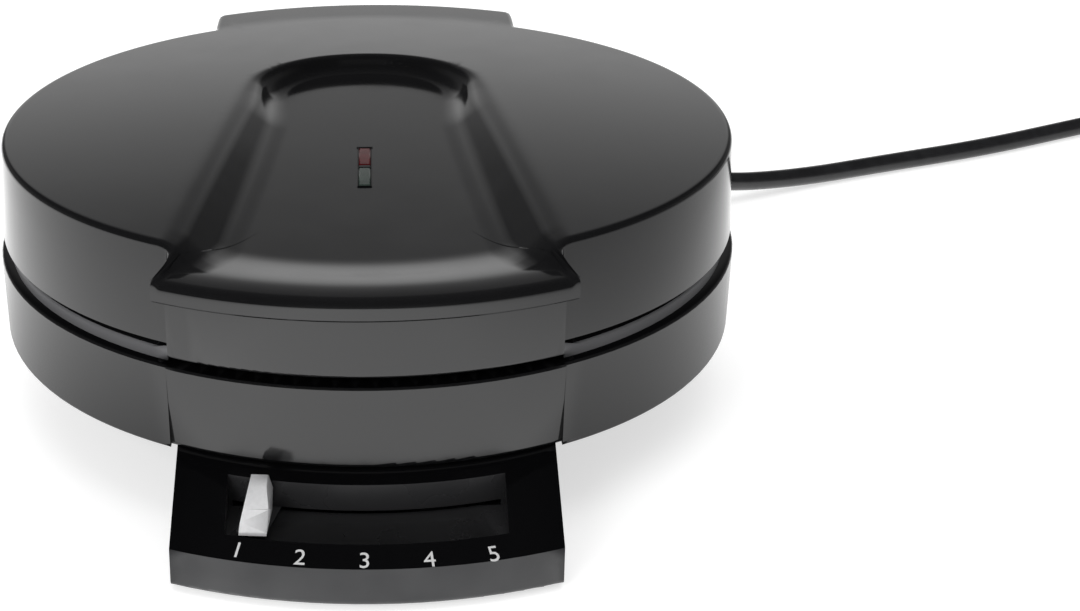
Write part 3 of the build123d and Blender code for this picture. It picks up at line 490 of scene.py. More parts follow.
@dataclass
class Studio:
    """The camera, the pale table and the soft light round it."""

    camera_place: tuple[float, float, float] = (0.0015, -0.5183, 0.2658)
    pitch: float = 26.36
    yaw: float = -1.74
    roll: float = -1.15
    lens: float = 60.0
    shift_x: float = 0.2019
    shift_y: float = 0.0414
    floor_size: float = 6.0
    room_heights: tuple[tuple[float, float], ...] = ((0.0, 1.0), (0.24, 0.95), (0.33, 0.6), (0.44, 0.27), (0.6, 0.1),
                                                     (0.8, 0.05), (1.0, 0.03))
    # levels across X and strength of the painted reflection glow that glossy pieces see on the table
    painted_reflection_levels: tuple[tuple[float, float], ...] = ((0.1, 0.5), (0.35, 0.7), (0.46, 1.0), (0.54, 0.9), (0.64, 0.42),
                                                     (0.85, 0.2))
    soft_level: float = 0.62
    table_grey: float = 0.62
    table_glow: float = 0.6
    painted_reflection_strength: float = 1.9

    def build(self) -> None:
        """Makes the camera, the world, the floor and the lamps."""
        self.make_camera()
        self.make_world()
        self.make_floor()
        self.make_lamps()
        bpy.context.scene.view_settings.view_transform = "Standard"
        log.info("studio ready")

    def make_camera(self) -> None:
        """Places the camera as the photograph was taken."""
        data = bpy.data.cameras.new("camera")
        data.lens = self.lens
        data.sensor_width = 36.0
        data.shift_x = self.shift_x
        data.shift_y = self.shift_y
        data.clip_start = 0.01
        data.clip_end = 50.0
        camera = bpy.data.objects.new("camera", data)
        bpy.context.scene.collection.objects.link(camera)
        pitch, yaw, roll = math.radians(self.pitch), math.radians(self.yaw), math.radians(self.roll)
        forward = Vector((math.sin(yaw) * math.cos(pitch), math.cos(yaw) * math.cos(pitch), -math.sin(pitch)))
        right = Vector((math.cos(yaw), -math.sin(yaw), 0.0))
        up = right.cross(forward)
        across = right * math.cos(roll) + up * math.sin(roll)
        upward = up * math.cos(roll) - right * math.sin(roll)
        turn = Matrix((across, upward, -forward)).transposed().to_4x4()
        camera.matrix_world = Matrix.Translation(self.camera_place) @ turn
        bpy.context.scene.camera = camera

    def make_world(self) -> None:
        """Makes a bright white behind, with a darker room above and in front for reflections."""
        world = bpy.data.worlds.new("studio")
        world.use_nodes = True
        bpy.context.scene.world = world
        bench = NodeBench(world.node_tree)
        output = bench.add("ShaderNodeOutputWorld")
        way = bench.place("Generated")[1]
        height = bench.levels(way["Z"], self.room_heights)
        depth = bench.spread(way["Y"], 0.12, 1.0, -0.35, 0.25)
        sector = bench.spread(bench.maths("ABSOLUTE", way["X"]), 1.08, 0.15, 0.27, 0.42)
        seen = bench.maths("MULTIPLY", bench.maths("MULTIPLY", height, depth), sector)
        mirror, soft, white = (bench.add("ShaderNodeBackground") for _ in range(3))
        bench.join(seen, mirror.inputs["Strength"])
        soft.inputs["Strength"].default_value = self.soft_level
        white.inputs["Strength"].default_value = 1.0
        rays = bench.add("ShaderNodeLightPath").outputs
        unseen = bench.mixed(rays["Is Glossy Ray"], soft.outputs[0], mirror.outputs[0])
        bench.join(bench.mixed(rays["Is Camera Ray"], unseen, white.outputs[0]), output.inputs["Surface"])

    def make_floor(self) -> None:
        """Makes the pale table. Glossy rays see a painted reflection glow on it, brightest near the middle and in
        front, with painted contact shade close to the iron.
        """
        half = self.floor_size / 2
        mesh = bpy.data.meshes.new("table")
        mesh.from_pydata([(-half, -half, 0), (half, -half, 0), (half, half, 0), (-half, half, 0)], [], [(0, 1, 2, 3)])
        floor = new_object("table", mesh)
        chain = NodeChain("pale_table")
        for name, value in (("Base Color", (self.table_grey,) * 3 + (1.0,)), ("Emission Color", (1.0, 1.0, 1.0, 1.0)),
                            ("Emission Strength", self.table_glow), ("Roughness", 0.9), ("Specular IOR Level", 0.0)):
            chain.shader.inputs[name].default_value = value
        place, split = chain.place("Object")
        # painted reflection: glossy rays see the table glow by levels across X
        across = chain.levels(chain.spread(split["X"], 0.0, 1.0, -1.0, 1.0), self.painted_reflection_levels)
        reach = chain.add("ShaderNodeVectorMath", operation="LENGTH")
        chain.join(place, reach.inputs[0])
        # painted contact shade: the glow that glossy rays see dims to 0.3 close to the iron, except in front
        near = chain.spread(reach.outputs["Value"], 0.3, 1.0, 0.115, 0.21)
        front = chain.spread(split["Y"], 1.0, 0.0, -0.13, -0.085)
        full = chain.maths("MULTIPLY", chain.maths("MAXIMUM", near, front), self.painted_reflection_strength)
        glow = chain.add("ShaderNodeEmission")
        chain.join(chain.maths("MULTIPLY", full, across), glow.inputs["Strength"])
        glossy = chain.add("ShaderNodeLightPath").outputs["Is Glossy Ray"]
        chain.join(chain.mixed(glossy, chain.shader.outputs[0], glow.outputs[0]), chain.output.inputs["Surface"])
        mesh.materials.append(chain.material)

    def make_lamps(self) -> None:
        """Makes one large soft lamp above and weak ones behind and in front."""
        for name, place, aim, size, power in (
            ("top_softbox", (0.1, 0.1, 1.5), (0.0, 0.0, 0.0), 1.6, 12.0),
            ("rear_softbox", (-0.5, 1.3, 0.9), (0.0, 0.0, 0.05), 0.9, 4.0),
            ("front_softbox", (-0.55, -0.9, 0.6), (0.0, -0.1, 0.04), 0.5, 5.0),
        ):
            data = bpy.data.lights.new(name, "AREA")
            data.shape = "SQUARE"
            data.size = size
            data.energy = power
            lamp = bpy.data.objects.new(name, data)
            bpy.context.scene.collection.objects.link(lamp)
            lamp.visible_glossy = False
            lamp.location = place
            lamp.rotation_mode = "QUATERNION"
            lamp.rotation_quaternion = (Vector(aim) - Vector(place)).to_track_quat("-Z", "Y")


@dataclass
class FrameSkins:
    """The CAD pieces whose shape is right, given merged smooth copies and their finish."""

    finishes: Finishes
    frame: dict
    angle: float = 32.0

    def skin(self, node: str, body: str, finish: bpy.types.Material, slot: str, degrees: float | None = None,
             lift: float = 0.0) -> bpy.types.Object:
        """Copies one CAD node as a merged, smoothly shaded piece.

        Args:
            node: The CAD node's name.
            body: The body that it rides on.
            finish: Its material.
            slot: The record's material slot; not used.
            degrees: The angle past which its edges stay sharp.
            lift: How far it is raised, in millimetres.

        Returns:
            The new piece.
        """
        mesh = self.frame["nodes"][node].data.copy()
        mesh.name = node + "_skin"
        work = bmesh.new()
        work.from_mesh(mesh)
        bmesh.ops.remove_doubles(work, verts=work.verts, dist=1e-6)
        bmesh.ops.dissolve_degenerate(work, edges=work.edges, dist=1e-7)
        work.to_mesh(mesh)
        work.free()
        mesh.transform(Matrix.Translation((0.0, 0.0, lift * MM)))
        shade_by_angle(mesh, degrees or self.angle)
        mesh.materials.clear()
        mesh.materials.append(finish)
        piece = new_object(node + "_skin", mesh)
        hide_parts(node)
        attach(piece, body)
        log.info("%s dressed", node)
        return piece


@dataclass
class RoundPan:
    """The base's round pan: an upright wall with a low rim, a shelf painted dark as painted shade and a shoulder over
    it painted pale as a painted highlight.
    """

    wall_radius: float = 112.85
    foot_round: float = 1.5
    floor_z: float = 25.5
    rim_z: float = 50.8
    rim_bevel: float = 0.6
    shoulder_radius: float = 109.8
    shoulder_top_z: float = 53.7
    cad_arc: tuple[float, float, float] = (104.7, 30.0, 4.5)
    cad_foot: tuple[float, float] = (109.1, 29.3)
    cad_rim: tuple[float, float] = (112.9, 51.9)
    cad_top_z: float = 52.5
    cad_shoulder: tuple[tuple[float, float], tuple[float, float]] = ((109.8, 55.0), (109.2, 55.6))
    side_x: tuple[float, float] = (52.3, 53.1)
    rear_side_step: float = 0.65
    shoulder_inner: float = 108.9
    near: float = 0.02

    def place(self, radius: float, z: float) -> tuple[float, float] | None:
        """Where a point of the solid's wall goes.

        Args:
            radius: Its distance from the disc axis.
            z: Its height.

        Returns:
            Its new radius and height, or nothing for a point that stays.
        """
        arc_radius, arc_z, arc_round = self.cad_arc
        lean = (self.cad_rim[0] - self.cad_foot[0]) / (self.cad_rim[1] - self.cad_foot[1])
        if abs(math.hypot(radius - arc_radius, z - arc_z) - arc_round) < 0.08 and z < self.cad_foot[1] - 0.1:
            angle = math.atan2(radius - arc_radius, arc_z - z) / math.atan2(4.4, 0.7) * math.pi / 2
            if angle < 0.03:
                return None
            return (self.wall_radius - self.foot_round * (1 - math.sin(angle)),
                    self.floor_z + self.foot_round * (1 - math.cos(angle)))
        on_wall = self.cad_foot[0] + (z - self.cad_foot[1]) * lean
        if self.cad_foot[1] - 0.1 <= z < self.cad_rim[1] + 0.05 and abs(radius - on_wall) < 0.12:
            low = self.floor_z + self.foot_round
            return self.wall_radius, float(np.interp(z, (self.cad_foot[1], 40.0, 50.2, 51.9), (low, 40.0, 50.2, 50.2)))
        if self.cad_rim[1] <= z <= self.cad_top_z + self.near and radius > self.shoulder_radius + 1.0:
            share = (z - self.cad_rim[1]) / (self.cad_top_z - self.cad_rim[1])
            return self.wall_radius - self.rim_bevel * share, self.rim_z - self.rim_bevel * (1 - share)
        if abs(z - self.cad_top_z) < self.near and abs(radius - self.shoulder_radius) < 0.05:
            return radius, self.rim_z
        for step, (at_radius, at_z) in enumerate(self.cad_shoulder):
            if abs(z - at_z) < self.near and abs(radius - at_radius) < 0.05:
                return radius, self.shoulder_top_z + 0.5 * step
        return None

    def shape(self, piece: bpy.types.Object, shoulder: bpy.types.Material, shelf: bpy.types.Material) -> None:
        """Moves the wall's points and gives the shoulder a painted highlight and the shelf painted shade.

        Args:
            piece: The dressed base shell.
            shoulder: The pale finish that paints a highlight on the shoulder.
            shelf: The darkest finish, which paints shade on the shelf under it.
        """
        mesh = piece.data
        for vert in mesh.vertices:
            x, y, z = vert.co.x / MM, vert.co.y / MM - AXIS_Y, vert.co.z / MM
            inner = self.side_x[0] if y < 0 else self.side_x[0] + self.rear_side_step
            if abs(x) < inner:
                continue
            spot = self.place(math.hypot(x, y), z)
            if spot is None:
                continue
            radius, height = spot
            if abs(x) < self.side_x[1]:
                y = math.copysign(math.sqrt(radius ** 2 - x ** 2), y)
            else:
                x, y = x * radius / math.hypot(x, y), y * radius / math.hypot(x, y)
            vert.co = (x * MM, (y + AXIS_Y) * MM, height * MM)
        mesh.update()
        shade_by_angle(mesh, FrameSkins.angle)
        mesh.materials.append(shoulder)
        mesh.materials.append(shelf)
        self.finish_faces(mesh)

    def finish_faces(self, mesh: bpy.types.Mesh) -> None:
        """Picks out the shoulder for its painted highlight and the shelf for its painted shade, and rounds the wall's
        shading about the disc axis.

        Args:
            mesh: The base shell's mesh, with the shoulder's painted highlight finish and the shelf's painted shade
                finish as its second and third.
        """
        normals = [Vector((0.0, 0.0, 0.0))] * len(mesh.loops)
        for face in mesh.polygons:
            outward = Vector((face.center.x, face.center.y - AXIS_Y * MM, 0.0))
            radius = outward.length / MM
            outward.normalize()
            height = face.center.z / MM
            on_shoulder = self.shoulder_inner < radius < self.shoulder_radius + 0.05
            on_shelf = self.shoulder_radius - 0.2 < radius < self.wall_radius - 0.4
            # the shoulder takes the painted highlight finish, the shelf the darkest finish as painted shade
            if on_shoulder and self.rim_z < height < self.shoulder_top_z + 0.5:
                face.material_index = 1
            elif on_shelf and abs(height - self.rim_z) < self.near:
                face.material_index = 2
            on_wall = self.floor_z + self.foot_round < height < self.rim_z - self.rim_bevel
            if on_wall and face.normal.dot(outward) > 0.97 and radius > self.wall_radius - 1.5:
                for loop in face.loop_indices:
                    spot = mesh.vertices[mesh.loops[loop].vertex_index].co
                    normals[loop] = Vector((spot.x, spot.y - AXIS_Y * MM, 0.0)).normalized()
        mesh.normals_split_custom_set(normals)


@dataclass
class LidPlan:
    """The plan and heights of the lid, in millimetres about the disc axis."""

    rim_radius: float = 110.0
    skirt_radius: float = 111.7
    rim_z: float = 85.1
    dome_rise: float = 2.3
    bottom_z: float = 57.1
    wall: float = 2.4
    hood_half: float = 53.0
    hood_corner_y: float = 115.0
    hood_back_y: float = 127.5
    hood_round: float = 4.0
    lip_radius: float = 120.5
    lip_half: float = 54.8
    lip_root: float = 50.6
    lip_root_y: float = 99.0
    lip_flare: float = 6.5
    lip_top_z: float = 80.1
    lip_foot_z: float = 72.8
    lip_crest: tuple[float, float] = (113.0, 79.1)
    lip_fall: float = 0.5
    floor_z: float = 78.6
    floor_mid_y: float = -26.0
    floor_tilt: float = 0.03
    scoop_mid_half: float = 35.2
    scoop_mid_y: float = 20.0
    scoop_flare_half: float = 49.9
    scoop_flare_y: float = 99.0
    scoop_mouth_half: float = 57.5
    scoop_mouth_y: float = 108.5
    scoop_back_y: float = 58.7
    crown_drop: float = 13.0
    scoop_round: float = 32.0
    flare_from_y: float = -70.0
    flare_blend: float = 6.0
    lip_from_y: float = -40.0
    lip_end_share: float = 0.86
    lip_root_blend: float = 1.2
    hood_from_y: float = 40.0
    lip_slope_width: float = 4.5
    rise_radius: float = 90.0
    crown_slope: float = 14.0
    side_slope: float = 51.0
    crown_start_y: float = 5.0
    crown_full_y: float = 60.0
    crown_mouth_round: float = 2.2
    side_mouth_round: float = 11.0
    crown_foot_round: float = 5.0
    side_foot_round: float = 12.0
    full_round_drop: float = 7.0
    mouth_datum: float = 0.9
    mouth_set_back: float = 0.4
    rim_round: float = 1.6
    lip_round: float = 2.4

    def __post_init__(self) -> None:
        """Works out the crown's circle and the rounded corner of the scoop."""
        self.spread = (self.scoop_flare_half - self.scoop_mid_half) / (self.scoop_flare_y + self.scoop_mid_y)
        corner_y = self.scoop_back_y - self.crown_drop
        corner_x = self.scoop_mid_half + (self.scoop_mid_y - corner_y) * self.spread
        self.crown_radius = (corner_x ** 2 + self.crown_drop ** 2) / (2 * self.crown_drop)
        self.crown_y = self.scoop_back_y - self.crown_radius
        self.side_normal = np.array([1.0, self.spread]) / math.hypot(1.0, self.spread)
        self.side_offset = (self.scoop_mid_half + self.scoop_mid_y * self.spread) / math.hypot(1.0, self.spread)
        flare = (self.scoop_mouth_half - self.scoop_flare_half) / (self.scoop_mouth_y - self.scoop_flare_y)
        self.flare_normal = np.array([1.0, flare]) / math.hypot(1.0, flare)
        self.flare_offset = (self.scoop_flare_half - self.scoop_flare_y * flare) / math.hypot(1.0, flare)
        back = (self.hood_half ** 2 + (self.hood_back_y - self.hood_corner_y) ** 2)
        self.back_radius = back / (2 * (self.hood_back_y - self.hood_corner_y))
        self.back_y = self.hood_back_y - self.back_radius
        self.scoop_pivot = self.corner(self.side_normal, self.side_offset - self.scoop_round,
                                       self.crown_y, self.crown_radius - self.scoop_round)
        self.hood_pivot = self.corner(np.array([1.0, 0.0]), self.hood_half - self.hood_round,
                                      self.back_y, self.back_radius - self.hood_round)

    @staticmethod
    def corner(normal: np.ndarray, offset: float, centre_y: float, radius: float) -> np.ndarray:
        """Where a line meets a circle centred on the Y axis, on the far right.

        Args:
            normal: The line's unit normal.
            offset: The line's distance from the disc axis.
            centre_y: The circle's centre.
            radius: The circle's radius.

        Returns:
            The point.
        """
        along = np.array([-normal[1], normal[0]])
        base = normal * offset - np.array([0.0, centre_y])
        b = float(base @ along)
        c = float(base @ base) - radius ** 2
        t = -b + math.sqrt(b * b - c)
        return normal * offset + along * t

    @staticmethod
    def blend(first: np.ndarray, second: np.ndarray, width: float) -> np.ndarray:
        """The larger of two depths, with the crease between them smoothed over a width."""
        near = np.maximum(width - np.abs(first - second), 0.0) / width
        return np.maximum(first, second) + near ** 2 * width / 4

    def rounded_pair(self, x: np.ndarray, y: np.ndarray, normal: np.ndarray, offset: float, centre_y: float,
                     radius: float, pivot: np.ndarray, round_radius: float) -> np.ndarray:
        """Depth inside a shape bounded by two mirrored sides and a circle, with rounded corners.

        Args:
            x: Places across.
            y: Places along.
            normal: The right side's unit normal.
            offset: The right side's distance from the disc axis.
            centre_y: The circle's centre.
            radius: The circle's radius.
            pivot: The right corner's rounding centre.
            round_radius: The corner's radius.

        Returns:
            The depth, above zero inside.
        """
        across = np.abs(x)
        side = offset - (across * normal[0] + y * normal[1])
        reach = np.hypot(across, np.maximum(y - centre_y, 0.0))
        depth = np.where(y > centre_y, np.minimum(side, radius - reach), side)
        dx, dy = across - pivot[0], y - pivot[1]
        along = np.array([-normal[1], normal[0]])
        radial = (pivot - np.array([0.0, centre_y])) / np.linalg.norm(pivot - np.array([0.0, centre_y]))
        tangent = np.array([radial[1], -radial[0]])
        wedge = (dx * along[0] + dy * along[1] > 0) & (dx * tangent[0] + dy * tangent[1] > 0)
        return np.where(wedge, round_radius - np.hypot(dx, dy), depth)

    def scoop_depth(self, x: np.ndarray, y: np.ndarray) -> np.ndarray:
        """Depth inside the scoop's mouth outline, above zero inside.

        Args:
            x: Places across.
            y: Places along.

        Returns:
            The depths.
        """
        arch = self.rounded_pair(x, y, self.side_normal, self.side_offset, self.crown_y, self.crown_radius,
                                 self.scoop_pivot, self.scoop_round)
        across = np.abs(x)
        flare = self.flare_offset - (across * self.flare_normal[0] + y * self.flare_normal[1])
        flare = np.minimum(flare, self.scoop_mouth_half - across)
        return self.blend(arch, np.where(y < self.flare_from_y, flare, OUTSIDE), self.flare_blend)

    def outer_depth(self, x: np.ndarray, y: np.ndarray) -> np.ndarray:
        """Depth inside the lid's whole outline, above zero inside.

        Args:
            x: Places across.
            y: Places along.

        Returns:
            The depths.
        """
        radius = np.hypot(x, y)
        hood = self.rounded_pair(x, y, np.array([1.0, 0.0]), self.hood_half, self.back_y, self.back_radius,
                                 self.hood_pivot, self.hood_round)
        hood = np.where(y > self.hood_from_y, hood, OUTSIDE)
        share = np.clip((-y - self.lip_root_y) / self.lip_flare, 0.0, 1.0)
        width = self.lip_root + share * (self.lip_half - self.lip_root)
        lip = np.minimum((width - np.abs(x)) * self.lip_end_share, self.lip_radius - radius)
        lip = np.where(y < self.lip_from_y, lip, OUTSIDE)
        return np.maximum(self.blend(self.rim_radius - radius, lip, self.lip_root_blend), hood)

    def edge_radius(self, x: np.ndarray, y: np.ndarray) -> np.ndarray:
        """Radius of the outer edge's rounding, larger on the lip.

        Args:
            x: Places across.
            y: Places along.

        Returns:
            The radii.
        """
        share = np.clip((-y - self.lip_root_y + 3.0) / self.lip_flare, 0.0, 1.0)
        share = np.where(np.abs(x) < self.lip_half + 0.6, share, 0.0)
        return self.rim_round + share * (self.lip_round - self.rim_round)

    def roof(self, x: np.ndarray, y: np.ndarray) -> np.ndarray:
        """Height of the dome, the hood and the lip's outer slope.

        Args:
            x: Places across.
            y: Places along.

        Returns:
            The heights.
        """
        radius = np.hypot(x, y)
        dome = self.rim_z + self.dome_rise * (1 - np.minimum(radius / self.rim_radius, 1.0) ** 2)
        slope = np.interp(radius, [self.rim_radius, self.rim_radius + self.lip_slope_width, self.lip_radius],
                          [self.rim_z, self.lip_top_z + 0.2, self.lip_top_z - self.lip_fall])
        return np.where((radius > self.rim_radius) & (y < 0), slope, dome)

    def floor(self, x: np.ndarray, y: np.ndarray) -> np.ndarray:
        """Height of the scoop's floor, which curls up to the lip.

        Args:
            x: Places across.
            y: Places along.

        Returns:
            The heights.
        """
        radius = np.where(y < 0, np.hypot(x, y), 0.0)
        level = self.floor_z + self.floor_tilt * (y - self.floor_mid_y)
        crest_radius, crest_z = self.lip_crest
        share = smooth_step(np.clip((radius - self.rise_radius) / (crest_radius - self.rise_radius), 0.0, 1.0))
        past = np.clip((radius - crest_radius) / (self.lip_radius - crest_radius), 0.0, 1.0)
        return level + (crest_z - level) * share - self.lip_fall * past ** 2

    def height(self, x: np.ndarray, y: np.ndarray) -> np.ndarray:
        """Height of the lid's upper surface anywhere inside its outline.

        Args:
            x: Places across.
            y: Places along.

        Returns:
            The heights: roof, mouth rounding, sloping wall, foot rounding and floor, less the outer edge's rounding.
        """
        roof, floor, depth = self.roof(x, y), self.floor(x, y), self.scoop_depth(x, y)
        back = smooth_step(np.clip((y - self.crown_start_y) / (self.crown_full_y - self.crown_start_y), 0.0, 1.0))
        lean = np.radians(self.side_slope + back * (self.crown_slope - self.side_slope))
        turn = math.pi / 2 - lean
        drop = np.maximum(roof - floor, 0.0)
        ease = np.clip(drop / self.full_round_drop, 0.02, 1.0)
        mouth = (self.side_mouth_round + back * (self.crown_mouth_round - self.side_mouth_round)) * ease
        foot = (self.side_foot_round + back * (self.crown_foot_round - self.side_foot_round)) * ease
        top_level = (self.rim_z + self.mouth_datum - roof) * self.mouth_set_back
        foot_level = top_level + drop * np.tan(lean)
        tangent = np.tan(turn / 2)
        inward = depth - (top_level - mouth * tangent)
        outward = (foot_level + foot * tangent) - depth
        wall = roof - (depth - top_level) / np.tan(lean)
        upper = roof - (mouth - np.sqrt(np.maximum(mouth ** 2 - np.clip(inward, 0, mouth) ** 2, 0)))
        lower = floor + (foot - np.sqrt(np.maximum(foot ** 2 - np.clip(outward, 0, foot) ** 2, 0)))
        level = np.where(inward <= mouth * np.sin(turn), upper, wall)
        level = np.where(outward <= foot * np.sin(turn), lower, level)
        level = np.where(drop <= 0.0, np.minimum(roof, floor), level)
        edge = self.edge_radius(x, y)
        out = np.clip(self.outer_depth(x, y), 0.0, edge)
        return level - (edge - np.sqrt(np.maximum(edge ** 2 - (edge - out) ** 2, 0)))


@dataclass
class Lid:
    """The lid's housing: dome, scoop, lip, hood, skirt and the two hinge lugs."""

    finishes: Finishes
    plan: LidPlan = field(default_factory=LidPlan)
    centre_y: float = -30.0
    rays: int = 720
    inner_rings: int = 84
    lug_inner_x: float = 20.0
    lug_width: float = 8.0
    lug_radius: float = 6.0
    lug_top_z: float = 30.0
    hinge_y: float = 118.0
    hinge_z: float = 46.5
    ceiling_z: float = 74.2
    lip_back_radius: float = 100.0
    lip_turn_in: float = 0.6
    edge_rings: int = 7
    reach: float = 175.0
    sample_step: float = 0.1
    lip_end: tuple[float, float] = (51.5, -70.0)
    lip_end_rays: int = 90
    skirt_top: tuple[float, float] = (110.7, 74.0)
    cheek_stop_x: float = 52.3
    cheek_steps: int = 12

    def build(self) -> None:
        """Builds the lid's housing and dresses it."""
        points, faces = self.top_and_skirt()
        for side in Side:
            self.extend(points, faces, *self.lug(side))
            self.extend(points, faces, *self.cheek_skirt(side))
        mesh = mesh_from("lid_housing", np.array(points), faces, 38.0)
        mesh.materials.append(self.finishes.gloss)
        piece = new_object("lid_housing", mesh)
        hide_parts("lid_shell")
        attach(piece, "lid")
        log.info("lid housing built with %d faces", len(mesh.polygons))

    @staticmethod
    def extend(points: list, faces: list, more_points: list, more_faces: list) -> None:
        """Adds a further shell to a growing mesh.

        Args:
            points: The mesh's points so far.
            faces: Its faces so far.
            more_points: The shell's points.
            more_faces: The shell's faces, numbered from its own first point.
        """
        base = len(points)
        points.extend(more_points)
        faces.extend(tuple(base + i for i in face) for face in more_faces)

    def angles(self) -> np.ndarray:
        """Directions of the rays, closer at the lip's ends and with one through each corner.

        Returns:
            The angles about the rays' centre, in order.
        """
        even = list(np.linspace(-math.pi, math.pi, self.rays, endpoint=False))
        plan = self.plan
        corners = [(plan.lip_half, -math.sqrt(plan.lip_radius ** 2 - plan.lip_half ** 2)), (plan.lip_half, -105.5),
                   (plan.hood_half, math.sqrt(plan.rim_radius ** 2 - plan.hood_half ** 2)),
                   (plan.lip_root, -math.sqrt(plan.rim_radius ** 2 - plan.lip_root ** 2))]
        for side in Side:
            centre = math.atan2(self.lip_end[1], side.value * self.lip_end[0])
            even += list(centre + np.linspace(-0.1, 0.1, self.lip_end_rays))
        exact = [math.atan2(y - self.centre_y, side.value * x) for x, y in corners for side in Side]
        kept = sorted(a for a in even if min(abs(a - e) for e in exact) > 0.001)
        spaced = [a for k, a in enumerate(kept) if k == 0 or a - kept[k - 1] > 0.0004]
        return np.array(sorted(spaced + exact))

    def crossing(self, values: np.ndarray, steps: np.ndarray, level: np.ndarray) -> np.ndarray:
        """Distance along each ray at which sampled values last fall below a level.

        Args:
            values: One row of samples for each ray.
            steps: The samples' distances.
            level: The level for each ray.

        Returns:
            The distances, or the last step where there is none.
        """
        above = values > level[:, None]
        falls = above[:, :-1] & ~above[:, 1:]
        index = falls.shape[1] - 1 - np.argmax(falls[:, ::-1], axis=1)
        row = np.arange(len(values))
        first, second = values[row, index], values[row, index + 1]
        share = np.clip((first - level) / np.maximum(first - second, 1e-9), 0.0, 1.0)
        found = steps[index] + share * (steps[index + 1] - steps[index])
        return np.where(falls.any(axis=1), found, steps[-1])

    def spaced_rings(self, weight: np.ndarray, steps: np.ndarray, stop: np.ndarray) -> list[np.ndarray]:
        """Rings of distances that lie closer together where the surface bends.

        Args:
            weight: Wanted rings for each millimetre, one row for each ray.
            steps: The samples' distances.
            stop: Where the last ring lies on each ray.

        Returns:
            The rings, from the inside out.
        """
        total = np.cumsum(weight, axis=1)
        rings = np.empty((self.inner_rings, len(stop)))
        shares = np.arange(1, self.inner_rings + 1) / self.inner_rings
        for ray, end in enumerate(stop):
            last = np.interp(end, steps, total[ray])
            rings[:, ray] = np.interp(shares * last, total[ray], steps)
        rings[-1] = stop
        return list(rings)

    def top_and_skirt(self) -> tuple[list, list]:
        """Rings of points from the scoop's floor over the rim, down the skirt and up inside it.

        Returns:
            The points and faces of a closed shell.
        """
        plan = self.plan
        angle = self.angles()
        steps = np.arange(0.0, self.reach, self.sample_step)
        dx, dy = np.cos(angle), np.sin(angle)
        px, py = dx[:, None] * steps, self.centre_y + dy[:, None] * steps
        outer, scoop, radius = plan.outer_depth(px, py), plan.scoop_depth(px, py), np.hypot(px, py)
        nil = np.zeros(len(angle))
        edge_at = self.crossing(outer, steps, nil)
        edge = plan.edge_radius(dx * edge_at, self.centre_y + dy * edge_at)
        inner_edge = self.crossing(outer, steps, edge)
        weight = 0.14 + 1.5 * np.exp(-((scoop - 1.5) / 3.2) ** 2) + 0.5 * np.exp(-((scoop - 12.0) / 8.0) ** 2)
        weight += np.where(scoop > 0.0, 0.6 * np.exp(-((radius - 108.0) / 10.0) ** 2), 0.0)
        weight += 0.8 * np.exp(-(outer / 3.0) ** 2)
        rings = self.spaced_rings(weight, steps, inner_edge)
        for k in range(1, self.edge_rings + 1):
            level = edge * (1 - math.sin(math.pi / 2 * k / self.edge_rings))
            rings.append(self.crossing(outer, steps, level))
        points = [(0.0, self.centre_y, float(plan.floor(np.array(0.0), np.array(self.centre_y))))]
        for ring in rings:
            x, y = dx * ring, self.centre_y + dy * ring
            points.extend(zip(x, y, plan.height(x, y)))
        x, y = dx * edge_at, self.centre_y + dy * edge_at
        on_lip = (y < -60.0) & (np.hypot(x, y) > plan.rim_radius + 0.2)
        on_disc = np.hypot(x, y) < plan.rim_radius + 0.2
        top_z = plan.height(x, y)
        foot_z = np.where(on_lip, plan.lip_foot_z, plan.bottom_z)
        draft = np.where(on_disc, (plan.skirt_radius - plan.rim_radius) / plan.rim_radius, 0.0)
        turn_in = np.where(on_lip, self.lip_turn_in / plan.lip_radius, 0.0)
        for drop, share in ((0.0, 0.35), (0.0, 0.7), (self.lip_turn_in, 1.0)):
            grow = 1 + draft * share
            points.extend(zip(x * grow, y * grow, top_z + (foot_z + drop * on_lip - top_z) * share))
        grow = 1 + draft - turn_in
        points.extend(zip(x * grow, y * grow, foot_z))
        inner = np.where(on_lip, self.lip_back_radius / np.hypot(x, y), 1 - plan.wall / np.hypot(x, y) * 1.2)
        points.extend(zip(x * inner, y * inner, foot_z))
        points.extend(zip(x * inner, y * inner, nil + self.ceiling_z))
        count = len(angle)
        total = (len(points) - 1) // count
        faces = [(0, 1 + i, 1 + (i + 1) % count) for i in range(count)]
        for r in range(total - 1):
            a, b = 1 + r * count, 1 + (r + 1) * count
            faces.extend((a + i, b + i, b + (i + 1) % count, a + (i + 1) % count) for i in range(count))
        points.append((0.0, 0.0, self.ceiling_z))
        last = 1 + (total - 1) * count
        faces.extend((last + (i + 1) % count, last + i, len(points) - 1) for i in range(count))
        return points, faces

    def lug(self, side: Side) -> tuple[list, list]:
        """One hinge lug: a round eye with a web up into the hood.

        Args:
            side: The side that it is on.

        Returns:
            Its points and faces.
        """
        low = side.value * self.lug_inner_x
        high = side.value * (self.lug_inner_x + self.lug_width)
        loop = [(self.lug_radius * math.cos(a), self.lug_radius * math.sin(a))
                for a in np.linspace(-math.pi, 0.0, 25)]
        loop += [(self.lug_radius - 2.0, self.lug_top_z), (-self.lug_radius, self.lug_top_z)]
        loop[24:25] = [(self.lug_radius, 0.0), (self.lug_radius - 0.6, 2.4), (self.lug_radius - 2.0, 4.5)]
        points = [(x, self.hinge_y + y, self.hinge_z + z) for x in (low, high) for y, z in loop]
        n = len(loop)
        faces = [tuple(range(n)), tuple(range(2 * n - 1, n - 1, -1))]
        faces += [(i, i + n, (i + 1) % n + n, (i + 1) % n) for i in range(n)]
        return points, faces

